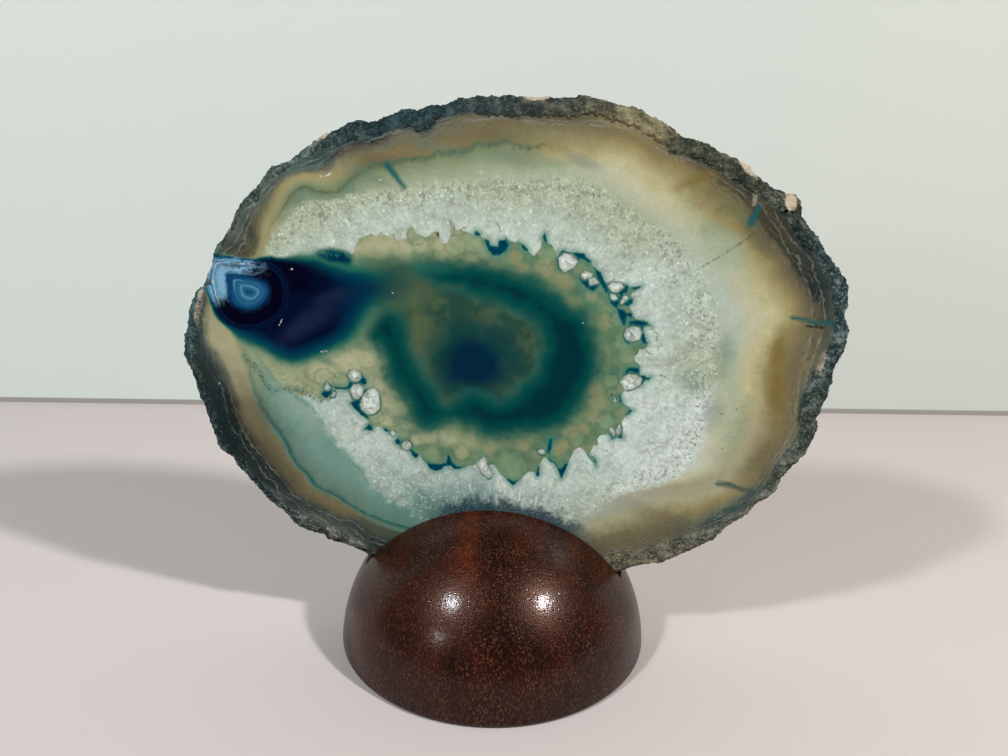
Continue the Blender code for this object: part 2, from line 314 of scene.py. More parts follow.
bands = {
    "crustEdge": [
        (-58.3, 66), (-57.5, 70), (-56.5, 73), (-55.5, 76), (-54.5, 79), (-53.5, 81.5), (-52, 84),
        (-50.3, 87), (-48.5, 90), (-46.3, 93), (-43.5, 96), (-40, 99), (-36, 101.3), (-33, 102.8),
        (-30, 102.2), (-26, 103.5), (-20, 105.5), (-17, 106.2), (-14, 105.2), (-12, 106.6), (-10, 108),
        (-6, 109), (-2, 108.3), (2, 108.2), (7, 108.4), (12, 108.3), (16, 108.8), (20, 107.8),
        (24, 106.8), (28, 104.2), (31, 103.5), (34, 102), (37, 101), (40, 99.3), (43, 97.5), (44.5, 96),
        (48, 96.3), (50, 93.5), (52, 91), (54, 88), (56, 86), (58, 84.5), (60, 82), (61, 79), (61.5, 77),
        (62.2, 74), (62.2, 71), (61.5, 68), (60.5, 65), (59.3, 62.5), (58.4, 60), (58, 56), (58.2, 52),
        (58, 49.5), (56.5, 47), (55, 45), (54.5, 43), (54.2, 41), (52.5, 38.2), (50.5, 35.5), (48.5, 33),
        (46, 31.5), (44, 30), (42, 28.5), (40, 28), (37, 27), (34, 25.5), (31, 24), (28, 23), (25, 22.5),
        (21, 20), (14, 17.5), (7, 15.8), (0, 15.2), (-8, 15.8), (-16, 17.5), (-22, 19.5), (-26, 21.2),
        (-28, 22.5), (-30, 24), (-32, 24.5), (-34, 25), (-36, 26.3), (-38, 27), (-40, 28), (-42.5, 29),
        (-44, 31), (-46, 33), (-48, 34), (-50, 37), (-52, 39), (-54, 42), (-55, 45), (-56, 50),
        (-57.5, 55), (-58.5, 60), (-58.5, 63)],
    "outerLine": [
        (-53.8, 53), (-54.5, 57), (-55.8, 61), (-57.2, 64), (-57.8, 68), (-56.8, 72), (-55, 77),
        (-52.5, 80.8), (-50, 83.5), (-49, 84.5), (-48, 86.5), (-47, 88.5), (-45.5, 91), (-43.5, 93.8),
        (-41, 96.3), (-38, 98.2), (-34, 99.5), (-31, 101), (-27, 102.9), (-22, 104.5), (-19.5, 104.9),
        (-16.5, 105.9), (-13.3, 106.2), (-12.2, 106), (-11, 107.4), (-8, 107.7), (-5, 107.6), (-2, 108),
        (0.8, 108.4), (2, 107.9), (5, 107.7), (8, 108), (12, 107.6), (14, 107.6), (17, 108), (19, 107.5),
        (21, 107.7), (22.3, 107), (24, 106.4), (27, 104.8), (30, 103), (33, 102), (36, 101), (39, 99.7),
        (42, 98), (44, 96.6), (46.5, 95.8), (48, 94.8), (49, 94), (49.3, 92.8), (50, 91.5), (51.5, 89.8),
        (53, 87.8), (55, 86), (56.5, 84.8), (57.5, 82), (59, 79), (60, 76), (60.5, 73), (60, 70),
        (59.3, 66), (58.5, 62), (58.3, 57), (58.3, 51), (57, 48.3), (55.3, 45.5), (54, 42), (52.3, 38.3),
        (50, 35), (47.5, 32.7), (44, 30.5), (40, 28.7), (36, 27), (31, 24.6), (26, 23), (20, 21.5),
        (12, 18.8), (0, 17), (-12, 18.8), (-20, 20.8), (-26, 22.3), (-27, 23), (-28.7, 24.5), (-30, 25.3),
        (-32, 25), (-33.5, 25.5), (-35, 26.5), (-37, 27.5), (-39, 28), (-40, 29.5), (-41, 30.5),
        (-43, 31.7), (-44.3, 32.5), (-44.3, 34), (-45, 35), (-46.5, 35.8), (-47.5, 37.5), (-48.3, 39.5),
        (-49.3, 41), (-50.3, 42), (-50.8, 43.5), (-51.3, 44.8), (-52.5, 45.5), (-53, 47), (-53.5, 49),
        (-53.7, 51)],
    "innerLine": [
        (-46.5, 40), (-48.5, 42), (-50, 44.8), (-51.2, 47.5), (-52, 51), (-52.6, 54.5), (-53.8, 58.5),
        (-55.5, 62), (-56.8, 66), (-56, 71), (-53, 78), (-50, 81.5), (-48.5, 83), (-47.5, 84.5),
        (-47.2, 86), (-46.3, 88), (-45, 90.3), (-43.3, 92.8), (-41, 95), (-38.5, 96.8), (-35.5, 98.3),
        (-32.5, 99), (-30.3, 101), (-27, 102.3), (-22, 104), (-18, 105.2), (-15.5, 105.8), (-13, 105),
        (-11, 106.6), (-8, 107.2), (-4, 107.5), (0, 108), (5, 107.4), (12, 107.2), (18, 107.2), (21, 107),
        (24, 105.8), (27, 104), (30, 102.6), (32.5, 101.8), (35, 101), (37, 100), (39, 98.6), (41, 97.6),
        (43, 96.3), (44.3, 95), (46, 94.9), (47.5, 93), (49, 91), (50.5, 89.5), (51, 88), (52.5, 86),
        (54.4, 85), (54.5, 83.5), (56, 81), (57, 78.5), (58, 75), (58.3, 71), (58, 67), (57.3, 63),
        (57.3, 57), (57.3, 52), (56.3, 48.8), (54.8, 46), (53.2, 42.5), (51.7, 38.7), (49.5, 35.7),
        (47, 33.3), (43.5, 31), (40, 29.3), (36, 27.7), (31, 25.2), (26, 23.7), (20, 22), (12, 19.3),
        (0, 17.6), (-12, 19.3), (-20, 21.6), (-24, 23), (-26, 24), (-27.5, 25.3), (-29, 26.5),
        (-31, 26.8), (-32.5, 27), (-34, 28), (-36, 28.8), (-38, 29.8), (-39.5, 31), (-41, 32),
        (-42, 33.5), (-43, 35), (-44, 36.5), (-45.5, 38)],
    "tanEdge": [
        (-56.8, 68), (-56, 72), (-54, 77), (-50, 81), (-46.2, 82), (-45.5, 84), (-45.2, 86), (-44.8, 88),
        (-44, 90), (-42.8, 92), (-41.5, 94), (-40, 95.8), (-38, 97), (-36, 97.6), (-34, 97.8),
        (-32.5, 98), (-31, 98.5), (-30, 100), (-28, 101.5), (-25, 102.5), (-22, 103), (-20, 103.8),
        (-18, 104.8), (-16, 105.3), (-14.5, 104.5), (-13, 104.2), (-12, 105.3), (-10, 106.3), (-7, 106.8),
        (-4, 107.2), (-1, 107.8), (5, 107.5), (12, 107.3), (18, 107), (22, 106.5), (25, 105.5), (28, 103),
        (31, 102), (34, 100.3), (37, 98.5), (40, 96.8), (43, 95), (45, 92.8), (47, 90), (49.5, 87),
        (51, 86), (53, 83), (54.5, 81), (56, 79), (57, 77), (57.8, 74), (58, 71), (57.5, 68), (56.8, 65),
        (56.3, 62), (56.5, 59), (56.8, 56), (57, 52), (56.5, 49), (55, 46.3), (53.5, 43.5), (53, 41),
        (51.5, 38), (49.5, 35.5), (47.5, 33.3), (45, 32), (42, 29.5), (38, 28.3), (34, 26.5), (30, 24.8),
        (25, 23.5), (20, 22), (13, 19.5), (5, 17.8), (-5, 17.8), (-14, 19.5), (-20, 21.5), (-24, 23),
        (-26, 24.5), (-27.5, 25.7), (-29, 26.9), (-31, 27.3), (-32.5, 27.6), (-34, 28.5), (-36, 29.3),
        (-38, 30.3), (-39.5, 31.5), (-41, 32.6), (-42, 34), (-43, 35.6), (-44, 37), (-45.5, 38.6),
        (-47, 40.5), (-48, 42.5), (-49, 44.5), (-50, 46), (-51, 48.5), (-51.3, 50), (-51.5, 52),
        (-52, 54), (-52.5, 56), (-53, 58), (-54, 60), (-55, 62), (-56.5, 64)],
    "tealBand": [
        (-26, 28.3), (-27.5, 29), (-29, 30), (-30.5, 31), (-32, 32), (-34, 33), (-36, 34), (-37.2, 35),
        (-38, 36.8), (-39.3, 38), (-40.3, 39.6), (-41, 41), (-41.7, 42.5), (-42.2, 44), (-42.8, 45.7),
        (-43.8, 46.8), (-44.7, 48), (-45.5, 49.5), (-46.5, 51), (-47, 53), (-47.5, 54.5), (-48, 56),
        (-48.3, 57.5), (-49, 61.5), (-50, 66), (-49, 72), (-47, 78), (-44, 83), (-43, 85), (-42.5, 87),
        (-41, 89), (-39.5, 91), (-38.5, 93), (-37, 94.3), (-35, 94.8), (-33.5, 94), (-31.6, 93.8),
        (-29.2, 94.2), (-27.8, 95.7), (-26.1, 97.3), (-24.5, 98.5), (-22, 99.4), (-18.5, 99.9),
        (-16.9, 100.5), (-14, 100.7), (-11.9, 101.4), (-10.2, 101.9), (-7.8, 102), (-5.4, 102.8),
        (-4.2, 103.5), (-2, 103.4), (0, 103.8), (1.2, 104.2), (2.5, 103.6), (4, 103), (6, 102.9),
        (7, 103.5), (9.5, 103.7), (13, 103), (17, 102.5), (22, 101.5), (26, 99.5), (30, 98), (34, 95),
        (38, 91.5), (42, 90), (44, 88), (46, 84), (47.5, 80), (50, 77), (52, 74), (51.5, 70), (50, 66),
        (49.5, 62), (50, 58), (50, 54), (49, 50), (48, 46), (46.5, 43), (44, 40.5), (41, 39), (36, 38.5),
        (30, 37), (24, 35), (20, 32.5), (16, 30), (10, 27), (0, 25), (-10, 25), (-18, 26), (-22, 27)],
    "quartzEdge": [
        (-43.5, 83), (-42.5, 85), (-41, 87), (-39, 89), (-37, 90.8), (-35, 92), (-33, 92.3), (-30, 92.8),
        (-26, 94), (-22, 94.5), (-16, 95.5), (-10, 96.3), (-6, 96.5), (-2, 97.2), (3, 97.3), (8, 97.6),
        (13, 97.5), (17, 96.5), (21, 94.5), (25, 92), (29, 89.5), (33, 86.5), (36, 83), (38.5, 79),
        (40, 75), (41, 70), (41.5, 64), (41.3, 58), (40.5, 53), (39.5, 48), (38.3, 44), (36, 41),
        (32.5, 38.8), (28, 37), (24, 35), (20, 32), (17, 29), (12, 26), (0, 24.5), (-10, 25.5), (-17, 29),
        (-22, 32.5), (-25, 36), (-27, 39), (-28, 40.5), (-30.5, 43), (-32.5, 45.5), (-34, 48),
        (-35.5, 50.5), (-37, 52.5), (-39, 54), (-41, 57), (-43, 62), (-44, 70), (-44.5, 78)],
    "fan": [
        (-55.6, 80), (-54, 81.2), (-52.5, 81.4), (-50, 81), (-48, 80.7), (-46, 80.8), (-44.5, 81.2),
        (-43, 81.4), (-41, 81.2), (-39.5, 81.2), (-38, 81.3), (-36, 81.1), (-34, 80.8), (-32, 80.3),
        (-30, 79.8), (-28, 79.2), (-25, 78.5), (-22, 77.9), (-19.5, 77.3), (-17.5, 76.7), (-18.5, 76),
        (-21, 75.2), (-23.5, 74), (-25.2, 72.4), (-26.5, 70.3), (-27.8, 68.3), (-29, 66.6), (-31.3, 65.1),
        (-33.5, 63.9), (-36.7, 62.4), (-38.8, 61.7), (-40.2, 61.6), (-42, 62.2), (-44, 63.4), (-46, 64.4),
        (-49, 65.6), (-51, 66.9), (-53, 68.4), (-54.2, 70), (-54.9, 72.5), (-55.3, 75), (-56, 76.5),
        (-56.4, 78)],
    "ring": [
        (-22, 71.6), (-24, 70), (-24.3, 67.5), (-22.5, 65.5), (-21, 63), (-20.5, 60), (-19.5, 57.5),
        (-18, 55), (-16.5, 53), (-16, 51), (-14, 49.3), (-11, 50), (-8, 50.3), (-5, 49.8), (-2, 48.4),
        (2, 48), (5, 48.8), (9, 49.3), (12, 50.8), (14.5, 53), (16.5, 56), (18, 59.5), (18.6, 63),
        (18.5, 67), (17.5, 70), (15.5, 72.3), (13, 73.8), (11, 75.3), (8, 77.3), (3, 79.2), (-3, 80.6),
        (-8, 80.9), (-13, 80.9), (-14.5, 80), (-13.5, 78.6), (-11, 77.6), (-7, 76.7), (-3, 75.7),
        (1, 74.7), (4, 73.4), (7, 71.4), (8.7, 69), (9.3, 66), (8.8, 63), (8, 60.5), (6, 58), (4.5, 56.5),
        (2.5, 55), (0, 54), (-3, 55.3), (-5.5, 55.5), (-8, 54), (-9.5, 52.6), (-11.3, 53.4), (-12.5, 56),
        (-14, 58.5), (-15.8, 61.3), (-17.2, 64), (-17.5, 67), (-18, 69.5), (-19.5, 71.3)],
}

# the sawtooth edge where the quartz points end in the dyed core, with its corners kept
crystalEdge = [
    (-28, 82.2), (-27.2, 82.8), (-26.6, 84.3), (-26, 85.8), (-25.2, 86), (-24.5, 86.2), (-23.5, 86.8),
    (-22.6, 86.2), (-21.7, 87.2), (-21, 86.5), (-20, 86.3), (-19.2, 86.9), (-18.9, 85.7), (-18, 85.6),
    (-17.2, 86), (-17, 87.5), (-16.3, 88.3), (-15.6, 88), (-15.2, 87), (-14.3, 86.7), (-13.4, 86.3),
    (-12.8, 86.8), (-12.1, 87.4), (-11.2, 87.5), (-10.8, 86.5), (-10.2, 85.4), (-9.6, 85.4), (-9.1, 86.3),
    (-8.9, 88), (-9.3, 90), (-8.6, 89), (-8, 88), (-7, 87.9), (-5.8, 87.7), (-5, 87.3), (-4.6, 87),
    (-4.2, 87.9), (-3.6, 87.6), (-3.2, 86.8), (-2, 86.5), (-1.6, 85.3), (-0.2, 85.1), (0, 86.3),
    (1, 86.4), (1.2, 87.3), (1.6, 86.6), (2.3, 86.1), (3, 86), (3.6, 86.3), (4.4, 85.7), (5.4, 84.6),
    (6.5, 83.6), (7.1, 84.3), (7.8, 85.5), (8, 87.2), (8.4, 88), (8.7, 87), (9, 86), (9.8, 85.8),
    (10.3, 84.8), (10.8, 83.8), (11.3, 84.4), (11.8, 84.8), (12.8, 84.6), (14, 84.5), (14.4, 84.2),
    (15.9, 84.3), (16.2, 83.5), (17, 83), (17.4, 82.2), (18, 81.6), (19, 80.9), (19.4, 79.8), (20, 79),
    (21, 79.4), (21.5, 79), (22.5, 79), (23.5, 79), (24.2, 78.4), (25.5, 78.6), (26.6, 78.6), (26, 78),
    (25.3, 77.5), (24.8, 76.8), (25.2, 76), (25.2, 75.3), (24.6, 74.6), (25, 73.9), (25.5, 72.8),
    (26, 72.3), (27, 72.2), (28.2, 71.8), (29, 71), (28.3, 70.9), (27.5, 70.6), (27.3, 69.6),
    (27.6, 68.6), (28.5, 67.6), (28.4, 67), (28, 66.3), (27, 66.2), (26.8, 65.5), (26.2, 64.8),
    (26.3, 64), (27, 63.6), (27.4, 63), (27.3, 62), (27.6, 61.2), (28.2, 61.2), (28.6, 60.8),
    (29.6, 60.8), (29, 60.2), (28.2, 60.3), (27.9, 59.3), (27.5, 58.5), (26, 58), (24.8, 58),
    (24.3, 57.2), (24, 56.3), (24.5, 55.5), (25.2, 55), (26, 54.5), (26.4, 54), (25.8, 53.5),
    (25.6, 52.8), (25, 52.2), (24.6, 51.3), (24.8, 50.5), (25, 49), (24.8, 48.2), (24, 48), (23, 47.6),
    (22.2, 48.8), (21.5, 48.5), (20.5, 48.3), (20, 47.5), (20.3, 46.6), (19.9, 46), (19.5, 46.2),
    (19, 45), (18.7, 44), (19.4, 43.4), (20, 42.8), (20.1, 41.5), (19.8, 41.6), (19.6, 42.4),
    (18.8, 43.2), (18, 44.3), (17.3, 45.3), (16.5, 45.5), (15.8, 45), (15.3, 44), (14.9, 42.8),
    (14.3, 41.2), (13.8, 39.8), (13.4, 38.6), (13, 39.6), (12.5, 40.7), (12, 41.8), (11, 42.3),
    (10.5, 42.8), (9.8, 43), (9, 41.3), (8.8, 40), (8.9, 39), (8.4, 38.8), (8.1, 39.6), (7, 39.8),
    (6.5, 39.4), (5.5, 38.2), (4.5, 37.2), (3.8, 36.6), (3.2, 37.2), (2.2, 38), (1.2, 38.9), (0.3, 40.2),
    (-0.3, 41), (-1, 40.7), (-1.5, 41.1), (-1.5, 42), (-2, 42.8), (-2.9, 42.2), (-3.7, 41), (-4.3, 40.5),
    (-5.5, 40.3), (-6.2, 40), (-7.2, 39.6), (-8, 39.7), (-8.6, 40.3), (-9.4, 40.3), (-10.4, 39.9),
    (-10.9, 39.2), (-12, 38.9), (-13, 39.5), (-13.7, 40.6), (-14.7, 41.5), (-15, 42.3), (-16, 41.6),
    (-16.6, 42.6), (-17.3, 43), (-18.6, 43.6), (-19.2, 44.2), (-19.9, 44.9), (-19.5, 45.8), (-19.4, 46.6),
    (-20.2, 47.3), (-21, 47), (-21.8, 47.4), (-22.4, 48), (-23.3, 48), (-24.2, 47.4), (-24.4, 47.2),
    (-25.2, 47.5), (-26, 47), (-26.4, 46.5), (-26.1, 47.4), (-25.4, 48.4), (-25.2, 49.1), (-26.2, 50),
    (-27.5, 51.3), (-28.9, 52.8), (-28.3, 53.3), (-28.9, 54.6), (-28.8, 55.6), (-29.5, 55.7), (-31, 55.6),
    (-31.5, 54.8), (-32, 53.8), (-32.8, 52.7), (-33.5, 53.5), (-34.3, 52.7), (-35, 53.5), (-36, 54.3),
    (-37, 54.5), (-38, 53.8), (-39, 54), (-40, 54.5), (-41.5, 55.5), (-43, 57), (-45, 60), (-47, 63.5),
    (-46, 70), (-44, 76), (-38, 79.5), (-33, 81.5), (-29, 81.6)]

# single quartz points that stand clear in the core, as seen cut through
crystals = [
    [(11, 83.3), (12, 84.4), (13.6, 84), (14.6, 82.8), (14, 81.6), (12.2, 80.6), (11.3, 81.5)],
    [(15.2, 80.4), (16, 81.2), (17.6, 80.6), (17.2, 79.9), (15.9, 79.4), (15.3, 79.8)],
    [(16.7, 79.6), (17.8, 80.1), (18.8, 78.9), (17, 78.3)],
    [(20.3, 78.3), (21, 79.1), (22.8, 79.1), (23.3, 78.3), (22.4, 77.2), (21.2, 77.2)],
    [(20.8, 77), (21.8, 76.9), (22.4, 76), (21.6, 75.6), (21, 75.9)],
    [(22.7, 75.3), (23.1, 74.9), (24.4, 76.2), (24, 76.8), (23.3, 76.6)],
    [(23.8, 69), (24.2, 70.3), (25.3, 70.9), (26.7, 70.7), (27.2, 69.6), (26.9, 68.3), (25.8, 67.8),
     (24.4, 68)],
    [(23.6, 59.6), (24.3, 60.8), (25.3, 61.4), (26.8, 61.2), (27.9, 60.5), (27.7, 59.3), (26.2, 58.2),
     (24.8, 57.9)],
    [(22.3, 56.9), (23, 56.4), (23.5, 55.6), (22.6, 55.3), (22.9, 56)],
    [(22.1, 50.2), (23, 50.1), (23.5, 49), (23.2, 48), (22.6, 49)],
    [(23.4, 49.6), (24.1, 51.1), (24.7, 50), (24.3, 48.6), (23.8, 48.6)],
    [(-3.5, 40.7), (-2.9, 42), (-2, 42.6), (-1.6, 41.6), (-1.3, 40.5), (-0.2, 39), (-1, 37.8),
     (-2.4, 38.8)],
    [(8.4, 44.5), (9.4, 45), (10, 44.3), (9.8, 43.6), (8.7, 43.9)],
    [(-18.7, 44.3), (-18.2, 45.2), (-17.3, 45.4), (-16.6, 44.7), (-16.7, 43.7), (-17.5, 43.2),
     (-18.4, 43.6)],
    [(-29, 58.5), (-28.5, 59.6), (-27.4, 60), (-26.4, 59.3), (-26.2, 58.2), (-27, 57.3), (-28.3, 57.4)],
    [(-28.7, 55.5), (-27.9, 56.7), (-26.7, 57), (-25.9, 56.2), (-26, 54.9), (-26.9, 53.7),
     (-27.9, 53.6), (-28.3, 54.6)],
    [(-26.7, 52.6), (-26.1, 54.5), (-25, 55.7), (-23.8, 56.3), (-22.9, 55.2), (-22.7, 53.4),
     (-22.8, 51.7), (-23.9, 50.7), (-25.3, 50.5), (-26.5, 51.5)],
    [(-33.8, 55.6), (-33.2, 57.1), (-32.3, 56), (-32.9, 55.1)],
    [(-32.5, 53.9), (-31.9, 55.2), (-31.3, 54.8), (-31.8, 53.8)],
    [(-20.9, 46.7), (-20.4, 47.4), (-19.8, 47.1), (-19.7, 46.4), (-20.3, 46.1)]]

# dye pooled deep between the points
dyePools = [
    [(-2.7, 86.2), (-1.8, 86.3), (-1.5, 85.3), (-0.2, 85.2), (0, 86.2), (1.2, 86.4), (2, 85.6),
     (1.4, 84.2), (0.2, 83.4), (-1, 83.3), (-2, 84.4)],
    [(-4.7, 87.3), (-4.2, 87.9), (-3.5, 87.5), (-3.3, 87), (-4, 86.9)],
    [(4, 85.9), (4.6, 85.6), (5.5, 84.7), (5.2, 84.2), (4.3, 84.9)],
    [(7.9, 87), (8.4, 88), (8.8, 86.8), (8.9, 86), (8.3, 86.4)],
    [(11, 84.2), (11.8, 84.9), (12.3, 84.8), (11.6, 84.1)],
    [(13.4, 84.4), (14.2, 84.6), (15.8, 84.3), (16, 83.8), (17.2, 83), (16.9, 82.6), (15.2, 83.4),
     (14.8, 83), (14.2, 83.7)],
    [(17.5, 82), (19, 80.9), (19.6, 79.5), (20.4, 78.2), (20.5, 77), (19.8, 77.3), (19.3, 78.3),
     (18.8, 79), (18.2, 80.2)],
    [(15, 79.7), (15.8, 79.2), (16.6, 79.2), (17, 78.2), (18.9, 78.7), (18.6, 78), (17.6, 77.2),
     (16.6, 77.8), (15.6, 78.6)],
    [(21, 76), (21.6, 75.5), (22.6, 75.8), (22.6, 76.8), (21.8, 77.2), (23.2, 77.8), (23.8, 78.9),
     (24.2, 78.4), (24, 77), (23.4, 77.2), (22.8, 75.6), (22.3, 74.3), (21.6, 74.4), (20.8, 75.2)],
    [(24.6, 78.3), (26.6, 78.6), (26, 78), (25, 77.9)],
    [(22.2, 74.2), (23.6, 74), (24.2, 73.4), (25, 73.5), (25.3, 72.4), (24.3, 72.8), (24, 71),
     (24.4, 70.8), (23.6, 70.9), (22.8, 72.3)],
    [(23.2, 75), (24.5, 76), (25.2, 76.2), (25.1, 75.3), (24.3, 74.6)],
    [(24.4, 71), (25, 71.9), (26.5, 72.1), (28, 71.7), (29.1, 70.9), (28, 71.2), (27.3, 70.9),
     (27.5, 70), (28, 68.6), (28.6, 67.5), (27.6, 67.5), (27, 68.2), (27.4, 69.6), (26.9, 70.9),
     (25.6, 71.2)],
    [(23.8, 68), (25, 67.2), (25.2, 67.4), (24.2, 68.2)],
    [(24.5, 61.6), (25.2, 62.7), (27.2, 62.7), (27.3, 61.5), (26, 61.7), (25.3, 61.8), (24.9, 61.2)],
    [(27.6, 61.1), (28.2, 61.2), (28.6, 60.8), (29.7, 60.9), (29, 60.2), (28.4, 60.2), (28.1, 59.3),
     (27.7, 59.2), (27.9, 60.3)],
    [(23.6, 57), (24.1, 56.7), (24.5, 55.4), (23.9, 55.6)],
    [(25.2, 53), (25.9, 54), (26.7, 54), (26, 53.2), (25.7, 52.9)],
    [(22, 49), (22.4, 48.8), (23.2, 47.7), (22.8, 47.5)],
    [(24, 48.1), (24.5, 48.9), (25, 48), (24.4, 47.8)],
    [(10.3, 44), (10.3, 45), (10.7, 47.3), (11.4, 47.2), (11.2, 45), (10.8, 44)],
    [(10.4, 42.9), (11, 42.7), (12.1, 42.1), (12.6, 41), (13.2, 40.8), (14, 42), (14.6, 42), (14, 40),
     (13.4, 38.5), (12.9, 39.5), (12.4, 40.9), (12, 41.7), (11, 42.2)],
    [(8.5, 41), (9, 41), (9, 39), (8.6, 38.7), (8.3, 39.2)],
    [(18.8, 44), (19.8, 43), (20.1, 41.5), (20.3, 42.7), (19.5, 43.8)],
    [(2.2, 38.1), (3, 38), (3.8, 37.6), (5, 38), (4.4, 37.1), (3.8, 36.5), (3, 37.2)],
    [(-13.8, 41), (-12.5, 40.5), (-11, 40.6), (-9.7, 40.9), (-9.4, 42.8), (-9, 42.5), (-8.4, 41),
     (-7.5, 40.3), (-6.1, 40.2), (-7, 39.6), (-8.2, 39.6), (-8.7, 40.3), (-10, 40), (-10.8, 39.2),
     (-12, 38.9), (-13, 39.5)],
    [(-17, 43.3), (-16.7, 43.9), (-16, 42.9), (-15, 42.4), (-15.6, 41.6), (-16.2, 41.7)],
    [(-20, 45), (-19.5, 45.8), (-18.9, 45.6), (-18.7, 44.8), (-19.1, 44.2), (-19.6, 44.4)],
    [(-22.3, 47.9), (-21.5, 47.7), (-20.9, 47), (-21.5, 46.9), (-22, 47.3)],
    [(-26, 47.4), (-25, 48.7), (-24.4, 48.2), (-24.2, 47.2), (-24.8, 47.1)],
    [(-28.9, 52.9), (-27.7, 53.3), (-27, 53.5), (-26.2, 54.9), (-25.7, 55.8), (-25, 56.1),
     (-25.6, 54.9), (-26.4, 53.7), (-26.9, 52.4), (-26, 51), (-25, 50.1), (-24.9, 49.5), (-26.5, 50.2)],
    [(-29.4, 56), (-28.6, 57.2), (-27.6, 57.2), (-26.7, 57.3), (-26, 58.6), (-25.3, 58), (-25.2, 57),
     (-25.8, 56.7), (-26.6, 57.1), (-27.9, 56.8), (-28.6, 55.6)],
    [(-32, 56.2), (-31.2, 56.1), (-29.5, 56.1), (-28.8, 55.5), (-30, 55.6), (-31.4, 55.5)],
    [(-34.3, 54.5), (-33.9, 55.3), (-33.2, 55.1), (-32.6, 55.4), (-32.2, 55), (-32.6, 54.2),
     (-33.1, 53.6), (-33.9, 53.7)]]

# the eye, from its outermost ring to its middle
eyeRings = [
    [(-56.2, 76), (-56.2, 78.4), (-55.2, 80.2), (-53.2, 81.2), (-50, 81.1), (-45, 80.9), (-41.6, 79.9),
     (-40, 77.2), (-39.6, 74.8), (-40.2, 72), (-42, 69.4), (-45, 67.6), (-48.2, 67), (-51, 67.6),
     (-53.4, 69.6), (-54.7, 72), (-55.3, 74)],
    [(-54.3, 77.6), (-53.6, 79.9), (-51.4, 80.3), (-46, 80), (-43.2, 79.2), (-41.3, 77.6), (-40.7, 75),
     (-41.1, 72.4), (-42.7, 70.2), (-45.4, 68.5), (-48.5, 68), (-51, 68.6), (-52.7, 70.4), (-53.8, 73),
     (-54.2, 75.5)],
    [(-51.2, 78.1), (-49, 77.9), (-46, 77.5), (-43.9, 76.5), (-43.3, 75), (-43.8, 73.4), (-45, 72.2),
     (-46.6, 71.2), (-48.4, 71), (-50.2, 71.5), (-51.2, 73), (-51.3, 75.5)],
    [(-49.9, 76.8), (-48, 76.6), (-46, 76.4), (-44.9, 75.6), (-44.7, 74.6), (-45.1, 73.6), (-46, 72.8),
     (-47.3, 72.2), (-48.7, 72.3), (-49.7, 73.4), (-50, 75)],
    [(-48.8, 75.8), (-47.4, 75.8), (-45.9, 75.5), (-45.4, 74.8), (-45.9, 73.9), (-46.9, 73.3),
     (-48.2, 73.4), (-48.9, 74.4)],
    [(-47.9, 74.9), (-47, 74.9), (-46.5, 74.5), (-47, 74.1), (-47.7, 74.3)]]

